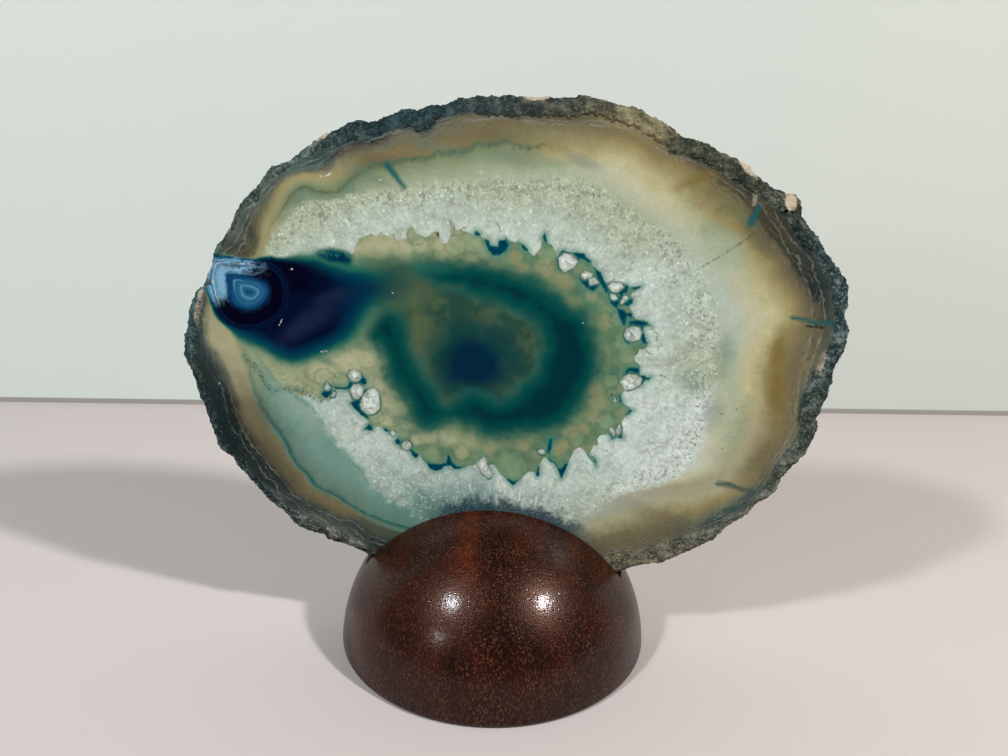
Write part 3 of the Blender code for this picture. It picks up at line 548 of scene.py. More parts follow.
# soft patches of colour on the face, each an oval: across, up, half width, half height, degrees turned
tints = {
    "amberTint": [(53.3, 59.5, 1.7, 6.0, 5), (52.6, 66.5, 1.3, 4.0, 0), (35, 98.4, 4, 0.8, 24)],
    "brownTint": [(36, 29.9, 8.5, 2.0, -22), (-24, 100.6, 5.0, 1.5, -14), (50.5, 44, 1.6, 5.0, -32),
                  (-41, 36.5, 1.2, 4.5, 38), (47, 87.8, 1.2, 3.4, 42), (-46.6, 49.5, 1.4, 4.0, 22)],
    "greenTint": [(-36.7, 92.3, 1.3, 1.0, 0), (-10, 102.3, 5.0, 0.9, -8), (3, 101.3, 5.5, 1.2, 0),
                  (14.5, 101, 3.6, 1.0, -20), (-24, 97.5, 4.5, 0.7, -25), (-15.5, 86.6, 0.8, 1.0, 0),
                  (-15.4, 84.4, 1.0, 1.3, 0), (43, 66, 1.6, 4, 0), (42, 54, 1.8, 3.2, 0),
                  (37, 60.5, 2.2, 3.0, 20), (-27, 94.6, 2.6, 0.5, -20)],
    "wedgeTint": [(-49.6, 83.2, 3.4, 1.7, -28), (-46.6, 86.5, 1.0, 3.0, 20),
                  (-53.2, 80.9, 1.4, 0.8, -40)],
    "oliveTint": [(-16.5, 75.5, 4.5, 3.2, 10), (-15, 68, 1.8, 6.0, 0), (-12.8, 59.5, 1.6, 4.0, 28),
                  (-9, 54.8, 2.6, 1.3, 10), (0.5, 57.2, 3.0, 1.2, -14), (-21, 73.8, 2.6, 0.9, -12),
                  (-24.6, 70.5, 0.9, 2.6, 38), (-27.5, 67, 0.8, 1.8, 45), (-30.3, 64.4, 1.4, 0.8, -20),
                  (-8, 77.6, 4, 0.8, 6)],
    "tealTint": [(-27, 65.3, 1.4, 1.1, 0), (-21, 69.3, 2.2, 2.6, 0), (-33.8, 61.7, 3.0, 0.7, -24),
                 (-17, 50, 2.5, 0.9, 0), (11, 47.5, 1.8, 1.6, 0), (17.5, 74, 1.4, 1.0, 0),
                 (14.5, 77, 1.4, 1.2, 0), (22.5, 61.8, 1.2, 1.0, 0)],
    "blackTint": [(-39, 79.3, 5.5, 1.7, -3), (-38, 76.5, 3.0, 1.6, 0)],
    "violetTint": [(-36, 69.3, 6.5, 1.8, 38), (-31.5, 74.3, 3.5, 1.0, 20)],
    "spill": [(-30.6, 82.1, 3.0, 1.35, -6), (-28.8, 81.3, 1.6, 1.1, -20)],
    "chipTint": [(52.3, 94.6, 1.3, 1.3, 0), (44.5, 100.3, 2.2, 0.9, -35), (6, 111.8, 2.4, 0.7, 0),
                 (-33, 103.8, 1.8, 0.8, 35), (-57.6, 69.8, 0.9, 2.4, -15), (-56.8, 73.4, 0.8, 1.2, 0),
                 (60.5, 66, 1.0, 3.0, 0)],
    "bandTint": [(-28.5, 80.2, 2.8, 0.7, -8), (-36.5, 81.6, 3.0, 0.45, 2), (-13, 80.5, 4.0, 1.0, 0)],
}

# rounded clouds in the core: across, up, radius
clouds = [
    (-24.8, 62.1, 1.5), (-22, 60.2, 1.5), (-28.6, 61, 2.0), (-31.3, 60.2, 1.6), (-34.5, 59.2, 2.0),
    (-21, 53.5, 1.3), (-18.5, 52.5, 2.2), (-22.3, 57.2, 1.3), (-20.4, 55.4, 1.1), (-23.4, 64.4, 1.0),
    (-27, 63, 1.1), (-17.2, 49.4, 1.6), (-21.6, 49.4, 1.3), (-13, 46.6, 1.8), (-9, 47, 2.4),
    (-4.5, 46, 2.0), (-15.6, 45.6, 1.2), (-1, 44.7, 1.6), (2.4, 46.8, 1.7), (5.3, 46.3, 2.0),
    (-6.5, 43.4, 1.4), (8.8, 49.3, 1.1), (12.6, 45.6, 1.8), (14.8, 49, 1.5), (17.2, 49.4, 1.2),
    (19.6, 55.4, 1.8), (18.9, 57.8, 1.5), (20.5, 63.4, 1.4), (20.2, 66, 1.2), (20, 71.3, 1.5),
    (15.2, 52.4, 1.5), (19, 52.6, 1.5), (14, 74.9, 1.6), (12, 78.3, 2.0), (8.5, 81, 2.0),
    (4.5, 80.9, 1.2), (17.4, 76.2, 1.1), (-2, 81.9, 1.8), (-5, 82, 1.2), (3, 83.2, 1.2),
    (-9.7, 82.8, 1.9), (-10.6, 84.9, 1.3), (-14.4, 84.6, 1.2), (-21.5, 84.4, 2.5), (-24.5, 83.6, 1.5),
    (-18, 83.5, 1.8), (-25.8, 83, 1.2)]
clearPoints = [
    (3.2, 40.6, 2.9), (-8, 85, 1.5), (-5, 85.8, 1.5), (9, 84, 1.6), (24, 67.8, 1.7), (22, 59.8, 1.2),
    (-15.2, 86.6, 1.3), (11.2, 41.2, 1.3), (-12.5, 42.6, 1.6), (21.6, 51.4, 1.4), (24.8, 65, 1.4),
    (22.6, 72, 1.2), (16, 47.4, 1.3), (-2.5, 84, 1.2), (-23.6, 50.2, 1.2), (-18.4, 47.3, 1.2),
    (-30.2, 57.5, 1.2), (-33.6, 57.8, 1.4)]

# the outer edge of the dark ring with the core inside it filled in, and the navy middle
ringOuter = [
    (-22.5, 72), (-24.5, 70), (-24.3, 67.5), (-22.5, 65.5), (-21, 63), (-20.5, 60), (-19.5, 57.5),
    (-18, 55), (-16.5, 53), (-16, 51), (-14, 49.3), (-11, 50), (-8, 50.3), (-5, 49.8), (-2, 48.4),
    (2, 48), (5, 48.8), (9, 49.3), (12, 50.8), (14.5, 53), (16.5, 56), (18, 59.5), (18.6, 63), (18.5, 67),
    (17.5, 70), (15.5, 72.3), (13, 73.8), (11, 75.3), (8, 77.3), (3, 79.2), (-3, 80.6), (-8, 80.9),
    (-13, 80.9), (-17, 80), (-21, 80.5), (-25, 80.5), (-27, 78), (-26, 75), (-24, 73.5)]
centreEdge = [
    (-9.8, 63.5), (-10, 60), (-9.3, 57.8), (-6, 57.3), (-2.5, 57.4), (0.3, 58.8), (1.2, 61.5),
    (0.8, 64.5), (-1.5, 66.3), (-4, 67.5), (-7.2, 67)]

# thin marks in the stone: half width, then the points that the mark runs through
strokes = {
    "tealMark": [
        (0.34, [(-20.4, 99.3), (-18.8, 97.2)]), (0.2, [(-18.8, 97.2), (-17.4, 95.4)]),
        (0.5, [(45.2, 91.1), (45.5, 92)]), (0.24, [(45.5, 92), (46.2, 93.8)]),
        (0.1, [(54.5, 73.7), (57, 73.4), (59, 72.7)]), (0.12, [(60, 72.9), (64.5, 73)])],
    "slateMark": [
        (0.42, [(44.3, 39.3), (46.5, 39)]), (0.28, [(46.5, 39), (49, 38.2)]),
        (0.1, [(49, 38.2), (52.5, 37.8)]), (0.42, [(46.2, 33.4), (48.4, 33.8)]),
        (0.28, [(48.4, 33.8), (50.6, 35)])],
    "greenMark": [
        (0.05, [(-49, 61.5), (-48, 60.5), (-47, 59.2), (-46.3, 58), (-45.8, 56.5), (-45, 55.5),
                (-44, 54.8), (-42, 55.2), (-40, 55.3), (-38, 55), (-36, 54), (-34.5, 53)])],
    "blackMark": [
        (0.18, [(57.5, 72.2), (60.5, 72)]), (0.14, [(60.1, 79.6), (59.8, 81)]),
        (0.1, [(-27.1, 58.1), (-26.5, 58.5)]), (0.08, [(24.9, 69.9), (25.3, 69.2), (25.9, 68.7)]),
        (0.1, [(-25.5, 54.7), (-25, 55)]), (0.12, [(-11.4, 87.4), (-11.2, 86.7)])],
    "brownMark": [
        (0.03, [(50.5, 92.3), (48.7, 91), (47, 90), (45.5, 88.8), (44, 87.5), (42, 86), (40, 84.5),
                (37, 82.5)]),
        (0.06, [(31.3, 61.3), (31.8, 61.3), (32.2, 60.9)]),
        (0.05, [(28.2, 66.1), (28.8, 65.7), (29.4, 65.4)]), (0.05, [(21, 79.2), (21.4, 79.8)]),
        (0.03, [(-9.3, 90), (-8.6, 89), (-8, 88)]), (0.03, [(-0.3, 89.5), (0.2, 88)]),
        (0.03, [(-18.7, 43.5), (-17.5, 43)]), (0.03, [(12, 38.5), (13.2, 37.8)]),
        (0.03, [(17.4, 42.8), (18.6, 42)]), (0.03, [(-7, 87.9), (-5.9, 88.6)]),
        (0.03, [(29, 70.4), (30.2, 69.4), (30, 68)])],
    # pale streaks in the stone, and painted glints
    "paleStreakAndGlint": [
        (0.06, [(-32.8, 96.8), (-31.5, 97), (-30.2, 97.9)]), (0.1, [(-28.2, 89.2), (-27.8, 88.3)]),
        (0.08, [(-33.9, 63.2), (-33, 63.4)]), (0.1, [(15.6, 80.4), (16.6, 80.2)]),
        (0.02, [(-41.9, 68.2), (-41.2, 69.4)])],
    "softMark": [
        (0.3, [(45.2, 98.6), (45.4, 96.5), (45.4, 94.5)]), (0.04, [(41, 39.2), (43, 39.6), (45, 39.6)]),
        (0.04, [(49.5, 33.3), (51.3, 34.6)]), (0.04, [(26.5, 38.5), (28.2, 35.8)]),
        (0.04, [(19.5, 35.5), (21.7, 33.3)])],
}
freckles = {   # single specks: half width, then where they are
    "blackMark": (0.1, [(43.5, 54), (39, 47.3), (46.2, 55), (44.3, 46.8), (24.2, 22), (42.7, 27.8),
                        (28.2, 21.6), (51.5, 36.2), (-41.1, 35.2), (-43, 33.2), (22, 45.2),
                        (26.2, 76.6)]),
    # the pale specks are painted glints
    "paleStreakAndGlint": (0.07, [(-30.4, 91.5), (-3.7, 98.5), (-25, 93.5), (-21.8, 96.6), (2, 92), (2.1, 93),
                        (8, 90.8), (6.2, 89.3), (21.5, 93), (20.4, 91.5), (23.3, 86.3), (45.5, 49.7),
                        (50, 54), (27.6, 36.3), (-54.7, 55.7), (-38.8, 79.4), (-19.8, 75.5), (16, 71)]),
}
for name, (half, places) in freckles.items():
    strokes[name] += [(half, [(x, z), (x + 0.05, z)]) for x, z in places]

slab = {
    "middleUp": 62.0,         # mm up of the point that the sectors turn round
    "gridStep": 0.7,          # mm between the rulings on the front face
    "backStep": 0.9,
    "rimCuts": 3,
    "detailReach": 1.0,       # mm round each crystal and mark that gets a finer grid
    "lumpSize": 1.5, "lumpHeight": 0.416,      # mm, like the next two
    "pebbleSize": 0.75, "pebbleHeight": 0.544,
    "swellSize": 5.0, "swellHeight": 0.25,
    "plainBelow": 17.0, "roughAbove": 21.0,   # mm up: smooth inside the slot, rough above it
    # mm across one ripple or grain, of those that break up the colours
    "gritSize": 0.36, "fineSize": 0.9, "middleSize": 2.6, "cloudSize": 5.0, "broadSize": 10.0,
    "grainSize": 0.42, "flakeSize": 1.0, "flakeSeamSize": 1.3, "pointSize": 2.8, "needleSize": 0.8,
    "fibreSize": 1.0, "wispSize": 1.0, "chainSize": 0.75, "rindPatchSize": 2.6, "rindLumpSize": 0.7,
    "polishedRoughness": 0.25, "rindRoughness": 0.7, "shine": 0.02,
    "rindBump": 0.9, "rindDepth": 0.5 * mm,
}


def smoothLoop(points, steps=3):
    # a rounded closed line through the points
    here = np.array(points, float)
    before, after, later = np.roll(here, 1, 0), np.roll(here, -1, 0), np.roll(here, -2, 0)
    parts = []
    for step in range(steps):
        t = step / steps
        square = (2 * before - 5 * here + 4 * after - later) * t ** 2
        cube = (3 * here - before - 3 * after + later) * t ** 3
        parts.append(0.5 * (2 * here + (after - before) * t + square + cube))
    return np.stack(parts, 1).reshape(-1, 2)


def depthInside(across, up, loop):
    # mm inside a closed line, less than zero outside it
    loop = np.asarray(loop, float)
    nearest = np.full(len(across), 1e9)
    inside = np.zeros(len(across), bool)
    for (x0, z0), (x1, z1) in zip(loop, np.roll(loop, -1, 0)):
        runX, runZ = x1 - x0, z1 - z0
        offX, offZ = across - x0, up - z0
        part = np.clip((offX * runX + offZ * runZ) / max(runX ** 2 + runZ ** 2, 1e-12), 0, 1)
        np.minimum(nearest, (offX - part * runX) ** 2 + (offZ - part * runZ) ** 2, out=nearest)
        if runZ:
            inside ^= ((z0 > up) != (z1 > up)) & (offX < runX * offZ / runZ)
    return np.sqrt(nearest) * np.where(inside, 1, -1)


def depthInShapes(across, up, shapes, reach=2.5):
    # the same for a handful of small shapes, worked out only near them; also which shape is nearest
    depth = np.full(len(across), -reach)
    which = np.zeros(len(across))
    for number, shape in enumerate(shapes):
        corners = np.array(shape)
        low, high = corners.min(0) - reach, corners.max(0) + reach
        close = np.flatnonzero((across > low[0]) & (across < high[0]) & (up > low[1]) & (up < high[1]))
        if not len(close):
            continue
        found = depthInside(across[close], up[close], corners)
        better = found > depth[close]
        depth[close[better]] = found[better]
        which[close[better]] = (number * 0.381) % 1.0
    return depth, which


def depthInStrokes(across, up, strokes, reach=2.0):
    # mm inside the nearest mark that is drawn along a line, less than zero outside it
    depth = np.full(len(across), -reach)
    for half, points in strokes:
        for (x0, z0), (x1, z1) in zip(points, points[1:]):
            beyond = reach + half
            close = np.flatnonzero((across > min(x0, x1) - beyond) & (across < max(x0, x1) + beyond)
                                   & (up > min(z0, z1) - beyond) & (up < max(z0, z1) + beyond))
            runX, runZ = x1 - x0, z1 - z0
            offX, offZ = across[close] - x0, up[close] - z0
            part = np.clip((offX * runX + offZ * runZ) / (runX ** 2 + runZ ** 2), 0, 1)
            found = half - np.hypot(offX - part * runX, offZ - part * runZ)
            depth[close] = np.maximum(depth[close], found)
    return depth


def softOvals(across, up, ovals):
    # 1 in the middle of an oval, easing to 0 a little outside it
    value = np.zeros(len(across))
    for x, z, wide, high, turn in ovals:
        cos, sin = math.cos(math.radians(turn)), math.sin(math.radians(turn))
        offX, offZ = across - x, up - z
        away = np.hypot((offX * cos + offZ * sin) / wide, (offZ * cos - offX * sin) / high)
        part = np.clip((1.75 - away) / 1.5, 0, 1)
        value = np.maximum(value, part * part * (3 - 2 * part))
    return value


def countRings(depths):
    # how many lines in from the outermost, and part of the way to the next
    count = np.zeros(len(depths[0]))
    for outer, inner in zip(depths, depths[1:]):
        part = np.where(outer > 0, outer / np.maximum(outer - inner, 1e-6), 0.0)
        count += np.where(inner > 0, 1.0, part) * (outer > 0)
    return count


def ruleFace(bm, isFace, step):
    # rules a flat face into squares: upright cuts first, then level ones from the bottom up
    faces = [face for face in bm.faces if isFace(face)]
    xs = [vert.co.x for face in faces for vert in face.verts]
    zs = [vert.co.z for face in faces for vert in face.verts]

    def cut(strip, place, normal):
        parts = set(strip)
        for face in strip:
            parts.update(face.edges)
            parts.update(face.verts)
        made = bmesh.ops.bisect_plane(bm, geom=list(parts), dist=1e-7, plane_co=place, plane_no=normal)
        faces = [part for part in made["geom"] if isinstance(part, bmesh.types.BMFace) and isFace(part)]
        start = Vector(place).dot(Vector(normal))
        isAhead = [part.calc_center_median().dot(Vector(normal)) > start for part in faces]
        return ([part for part, ahead in zip(faces, isAhead) if ahead],
                [part for part, ahead in zip(faces, isAhead) if not ahead])

    ahead, strips = faces, []
    x = min(xs) + step
    while x < max(xs):
        ahead, behind = cut(ahead, (x, 0, 0), (1, 0, 0))
        strips += behind
        x += step
    ahead += strips
    z = min(zs) + step
    while z < max(zs):
        ahead, behind = cut(ahead, (0, 0, z), (0, 0, 1))
        z += step


def buildSlice():
    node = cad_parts["agate_slice"]
    bm = bmesh.new()
    bm.from_mesh(node.data)
    bmesh.ops.remove_doubles(bm, verts=bm.verts, dist=weld)

    def isFront(face):
        return face.normal.y < -0.99 and abs(face.calc_center_median().y / mm - faceY) < 0.01

    def isBack(face):
        return face.normal.y > 0.99 and abs(face.calc_center_median().y / mm - backY) < 0.01

    bm.normal_update()
    for side in (isFront, isBack):
        bmesh.ops.dissolve_faces(bm, faces=[face for face in bm.faces if side(face)], use_verts=False)
    bm.normal_update()
    rim = [edge for edge in bm.edges
           if any(not isFront(face) and not isBack(face) for face in edge.link_faces)]
    rimCuts = slab["rimCuts"]
    bmesh.ops.subdivide_edges(bm, edges=rim, cuts=rimCuts, use_grid_fill=True)
    bm.normal_update()

    # the rough rind: pebbly lumps, fading out where the slice stands in the slot
    usualGap = 0.45        # the middling distance to a lump's own centre, in lump sizes
    moves = []
    for vert in bm.verts:
        flat = [face for face in vert.link_faces if isFront(face) or isBack(face)]
        up = vert.co.z / mm
        rough = min(max((up - slab["plainBelow"]) / (slab["roughAbove"] - slab["plainBelow"]), 0), 1)
        place = vert.co / mm
        lumps = noise.voronoi(place / slab["lumpSize"])[0][0] - usualGap
        pebbles = noise.voronoi(place / slab["pebbleSize"] + Vector((7, 3, 5)))[0][0] - usualGap
        swell = noise.noise(place / slab["swellSize"])
        height = swell * slab["swellHeight"] - lumps * slab["lumpHeight"] - pebbles * slab["pebbleHeight"]
        outward = vert.normal.copy()
        if flat:
            outward = Vector((outward.x, 0, outward.z))
        if outward.length > 0:
            outward.normalize()
        moves.append((vert, outward * height * rough * mm))
    for vert, move in moves:
        vert.co += move
        vert.co.y = min(max(vert.co.y, sliceLow.y), sliceHigh.y)

    coarse = 1.0
    bm.normal_update()
    ruleFace(bm, isFront, slab["gridStep"] * coarse * mm)
    ruleFace(bm, isBack, slab["backStep"] * coarse * mm)
    bm.normal_update()

    # finer squares along the quartz points, the dye pools and the thin marks
    allStrokes = [stroke for group in strokes.values() for stroke in group]

    def refine(side, reach):
        faces = [face for face in bm.faces if side(face)]
        centres = np.array([face.calc_center_median() for face in faces]) / mm
        across, up = centres[:, 0], centres[:, 2]
        depth = depthInShapes(across, up, crystals + dyePools)[0]
        depth = np.maximum(depth, depthInStrokes(across, up, allStrokes))
        depth = np.maximum(depth, -np.abs(depthInside(across, up, crystalEdge)))
        edges = {edge for face, near in zip(faces, depth > -reach) if near for edge in face.edges}
        bmesh.ops.subdivide_edges(bm, edges=list(edges), cuts=1, use_grid_fill=True)
        bm.normal_update()

    refine(isFront, slab["detailReach"])
    refine(isFront, slab["detailReach"] * 0.5)
    refine(isBack, slab["detailReach"] * 0.6)

    flat = {face: isFront(face) or isBack(face) for face in bm.faces}
    for face, level in flat.items():
        face.smooth = not level
    for edge in bm.edges:
        if len({flat[face] for face in edge.link_faces}) > 1:
            edge.smooth = False
    bmesh.ops.recalc_face_normals(bm, faces=bm.faces)
    polish = [float(flat[face]) for face in bm.faces]
    piece = newPiece("agateSlice", bm)
    mesh = piece.data
    mesh.attributes.new("polished", "FLOAT", "FACE").data.foreach_set("value", polish)

    places = np.zeros(len(mesh.vertices) * 3)
    mesh.vertices.foreach_get("co", places)
    across, up = places.reshape(-1, 3)[:, 0] / mm, places.reshape(-1, 3)[:, 2] / mm
    fields = {name: depthInside(across, up, smoothLoop(loop)) for name, loop in bands.items()}
    fields["core"] = depthInside(across, up, crystalEdge)
    fields["crystal"], fields["crystalTone"] = depthInShapes(across, up, crystals)
    fields["dyePool"] = depthInShapes(across, up, dyePools)[0]
    for name, group in strokes.items():
        fields[name] = depthInStrokes(across, up, group)
    for name, ovals in tints.items():
        fields[name] = softOvals(across, up, ovals)
    for name, group in (("clouds", clouds), ("clearPoints", clearPoints)):
        fields[name] = softOvals(across, up, [(x, z, radius, radius, 0) for x, z, radius in group])
    fields["ringOuter"] = depthInside(across, up, smoothLoop(ringOuter))
    fields["centre"] = depthInside(across, up, smoothLoop(centreEdge))

    # how far in, from rind (0) to tan band (1), green line (2) and quartz (3)
    order = [fields[name] for name in ("crustEdge", "tanEdge", "tealBand", "quartzEdge")]
    fields["bandDepth"] = countRings(order) + np.clip(order[-1] * 0.1, 0, 0.4)
    # degrees round from straight down
    fields["bearing"] = np.degrees(np.arctan2(across, slab["middleUp"] - up)) % 360
    rings = [depthInside(across, up, smoothLoop(ring, 2)) for ring in eyeRings]
    fields["eye"] = np.minimum(rings[0] * 0.5, 0) + countRings(rings) + np.maximum(rings[-1], 0)
    for name, values in fields.items():
        mesh.attributes.new(name, "FLOAT", "POINT").data.foreach_set("value", values.astype(np.float32))
    triangles = sum(len(face.vertices) - 2 for face in mesh.polygons)
    print("slice:", len(mesh.vertices), "vertices,", triangles, "triangles")
    return piece


agateSlice = buildSlice()


# where the dome's round shows against the face, in mm
dome = {
    "middleUp": (domeHigh.z - domeHigh.x) / mm,
    "faceRadius": math.sqrt((domeHigh.x / mm) ** 2 - faceY ** 2),
}


# the agate's finish

dye = {name: screenColour(*shade) for name, shade in {
    # skin and bands, dark to pale
    "soot": (22, 32, 33), "charcoal": (36, 46, 45), "pitch": (24, 36, 38), "tealSkin": (48, 68, 63),
    "slate": (58, 70, 67), "smoke": (78, 85, 75), "ash": (102, 105, 88), "peat": (62, 61, 47),
    "umber": (92, 87, 66), "bark": (108, 101, 75), "moss": (101, 103, 72), "fawn": (120, 110, 77),
    "amber": (114, 98, 50), "ochre": (134, 123, 83), "honey": (142, 131, 88), "tan": (151, 143, 102),
    "straw": (162, 155, 113), "cream": (178, 173, 134), "wax": (178, 179, 152), "putty": (148, 144, 118),
    "clay": (155, 152, 120), "stone": (152, 156, 140), "fern": (96, 106, 77), "sage": (122, 134, 103),
    "mist": (140, 151, 122), "pale": (158, 169, 144), "bramble": (82, 78, 70), "lilac": (118, 112, 108),
    "seaSkin": (70, 94, 90), "drab": (128, 125, 90), "reed": (140, 138, 101), "lichen": (120, 135, 112),
    "tealLine": (36, 86, 80), "greenLine": (70, 98, 80), "tealMark": (16, 84, 84),
    "slateMark": (54, 76, 74), "chip": (180, 167, 146), "leaf": (106, 128, 104),
    "aquaDeep": (90, 115, 102), "aqua": (106, 140, 127), "aquaPale": (142, 161, 147),
    "aquaDark": (88, 124, 112), "aquaLine": (78, 130, 120), "milk": (168, 180, 164),
    "dust": (142, 142, 134),
    # quartz
    "clearWhite": (186, 197, 188), "clearBlue": (172, 190, 183), "clearGrey": (140, 146, 134),
    # the dark teal on the next line paints shade on the face along the dome's edge
    "grain": (112, 116, 92), "seam": (96, 112, 106), "glint": (236, 242, 238), "dusk": (24, 50, 60),
    "duskPale": (120, 142, 146), "brownMark": (74, 66, 48),
    # the dyed core
    "coreSage": (112, 134, 103), "coreKhaki": (140, 138, 101), "coreBeige": (166, 167, 133),
    "coreGreen": (74, 108, 82), "coreClear": (128, 152, 118), "coreTeal": (24, 88, 80),
    "coreDark": (38, 70, 58), "coreOlive": (84, 98, 66), "coreNavy": (1, 36, 56), "halo": (10, 58, 58),
    "ringTeal": (0, 66, 62), "ringDeep": (0, 44, 51), "poolTeal": (0, 80, 84), "poolNavy": (0, 54, 76),
    "poolEdge": (60, 122, 108),
    # the fan and its eye
    "fanSage": (100, 132, 102), "fanGreen": (36, 98, 82), "fanTeal": (0, 66, 74), "fanBlue": (0, 42, 68),
    "fanNavy": (1, 10, 38), "fanBlack": (2, 1, 20), "fanViolet": (24, 36, 60), "eyeLine": (6, 34, 64),
    "eyeFaint": (3, 22, 52), "eyeDeep": (10, 60, 98), "eyeBlue": (24, 80, 116), "eyeSoft": (44, 100, 130),
    "eyePale": (78, 136, 160), "eyeCloud": (120, 162, 188), "eyeWhite": (166, 188, 196)}.items()}

# how the bands change colour inwards: degrees round from straight down by the right-hand side, then band
# depths (0 the rind, 1 the tan band, 2 the green or teal line, 3 the quartz) with the shade at each
sectors = [
    (38, [(0, "umber"), (0.9, "umber"), (1.3, "bark"), (1.6, "clay"), (1.8, "stone"), (2.3, "milk")]),
    (58, [(0, "slate"), (0.3, "tealSkin"), (1, "tealSkin"), (1.2, "ash"), (1.4, "ochre"),
          (1.7, "clay"), (2, "putty"), (2.5, "wax"), (2.9, "clearWhite")]),
    (76, [(0, "smoke"), (0.5, "bark"), (1.1, "bark"), (1.4, "fawn"), (2, "clay"), (2.25, "mist"),
          (2.75, "wax"), (3, "clearWhite")]),
    (92, [(0, "smoke"), (0.5, "bark"), (1.1, "bark"), (1.5, "fawn"), (1.8, "honey"), (2, "straw"),
          (2.25, "cream"), (2.6, "pale")]),
    (107, [(0, "slate"), (0.3, "charcoal"), (0.75, "charcoal"), (1, "umber"), (1.2, "bark"),
           (1.5, "honey"), (1.8, "straw"), (2.1, "cream"), (2.4, "wax"), (2.75, "milk")]),
    (121, [(0, "charcoal"), (0.3, "peat"), (0.8, "peat"), (1, "umber"), (1.5, "moss"), (1.9, "ochre"),
           (2.15, "mist"), (2.6, "pale"), (3, "milk")]),
    (138, [(0, "peat"), (0.5, "umber"), (1, "fawn"), (1.4, "ochre"), (1.8, "tan"), (2.05, "straw"),
           (2.3, "cream"), (2.6, "wax"), (3, "pale")]),
    (152, [(0, "ochre"), (1.2, "fawn"), (1.5, "honey"), (1.8, "straw"), (2.05, "cream"), (2.45, "wax"),
           (3, "pale")]),
    (167, [(0, "umber"), (0.5, "umber"), (1, "bark"), (1.6, "drab"), (2.05, "honey"), (2.3, "straw"),
           (2.55, "mist"), (2.9, "pale")]),
    (181, [(0, "smoke"), (0.3, "bark"), (1.6, "bark"), (1.85, "moss"), (2.0, "fern"), (2.25, "sage"),
           (2.55, "mist"), (2.95, "pale")]),
    (197, [(0, "slate"), (0.5, "smoke"), (1, "ash"), (1.4, "bark"), (1.85, "fawn"), (2.04, "fern"),
           (2.25, "sage"), (2.6, "mist"), (3, "pale")]),
    (212, [(0, "slate"), (0.7, "charcoal"), (1, "bramble"), (1.3, "ash"), (1.5, "fawn"),
           (1.85, "bark"), (2.05, "fern"), (2.3, "sage"), (2.75, "mist"), (3, "pale")]),
    (227, [(0, "seaSkin"), (0.75, "seaSkin"), (1, "ash"), (1.2, "tan"), (1.45, "tan"), (1.75, "sage"),
           (2, "fern"), (2.3, "leaf"), (2.75, "lichen"), (3.05, "pale")]),
    (242, [(0, "ash"), (0.5, "smoke"), (0.9, "umber"), (1.2, "moss"), (1.4, "drab"), (1.6, "reed"),
           (2, "reed"), (2.5, "clay"), (3, "pale")]),
    (268, [(0, "charcoal"), (0.7, "slate"), (1, "ash"), (1.2, "clay"), (1.8, "clay"), (2.02, "sage"),
           (2.25, "mist"), (2.7, "leaf")]),
    (286, [(0, "pitch"), (0.75, "soot"), (1, "peat"), (1.25, "umber"), (1.7, "bark"),
           (1.88, "aquaDeep"), (2, "tealLine"), (2.12, "aquaDeep"), (2.4, "aqua"), (3, "aquaPale")]),
    (301, [(0, "slate"), (0.25, "charcoal"), (0.85, "charcoal"), (1.05, "peat"), (1.5, "umber"),
           (1.78, "bark"), (1.93, "aquaDeep"), (2, "tealLine"), (2.1, "aquaDeep"), (2.5, "aqua"),
           (2.85, "aqua"), (3.1, "milk")]),
    (316, [(0, "smoke"), (0.9, "slate"), (1.2, "umber"), (1.6, "bark"), (1.85, "moss"),
           (1.94, "aquaDeep"), (2, "tealLine"), (2.14, "aquaDeep"), (2.7, "aqua"), (3.1, "aquaPale")]),
    (335, [(0, "soot"), (0.9, "charcoal"), (1.3, "tealSkin"), (1.6, "tealSkin"), (1.8, "aquaDark"),
           (2, "tealLine"), (2.1, "aquaDark"), (2.8, "aquaDark")])]

# the rind round the edge, and the flecks in it, by the same degrees
rindShades = [
    (30, (104, 100, 80), (150, 148, 126)), (60, (96, 100, 88), (150, 154, 138)),
    (85, (50, 62, 58), (120, 132, 124)), (100, (46, 66, 70), (136, 150, 144)),
    (116, (32, 44, 44), (104, 114, 108)), (128, (50, 54, 44), (120, 118, 100)),
    (142, (52, 58, 46), (100, 102, 82)), (150, (116, 108, 82), (146, 138, 108)),
    (158, (88, 84, 66), (136, 130, 106)), (168, (50, 56, 50), (100, 100, 86)),
    (180, (44, 56, 56), (104, 104, 92)), (194, (32, 50, 52), (70, 88, 88)),
    (212, (26, 42, 46), (74, 92, 92)), (226, (66, 84, 80), (150, 152, 140)),
    (244, (60, 72, 64), (128, 136, 120)), (262, (60, 84, 86), (120, 146, 146)),
    (275, (32, 46, 48), (96, 110, 102)), (290, (28, 40, 42), (110, 128, 130)),
    (304, (46, 60, 60), (150, 164, 162)), (318, (84, 88, 80), (170, 174, 160)),
    (334, (34, 42, 40), (90, 96, 86))]


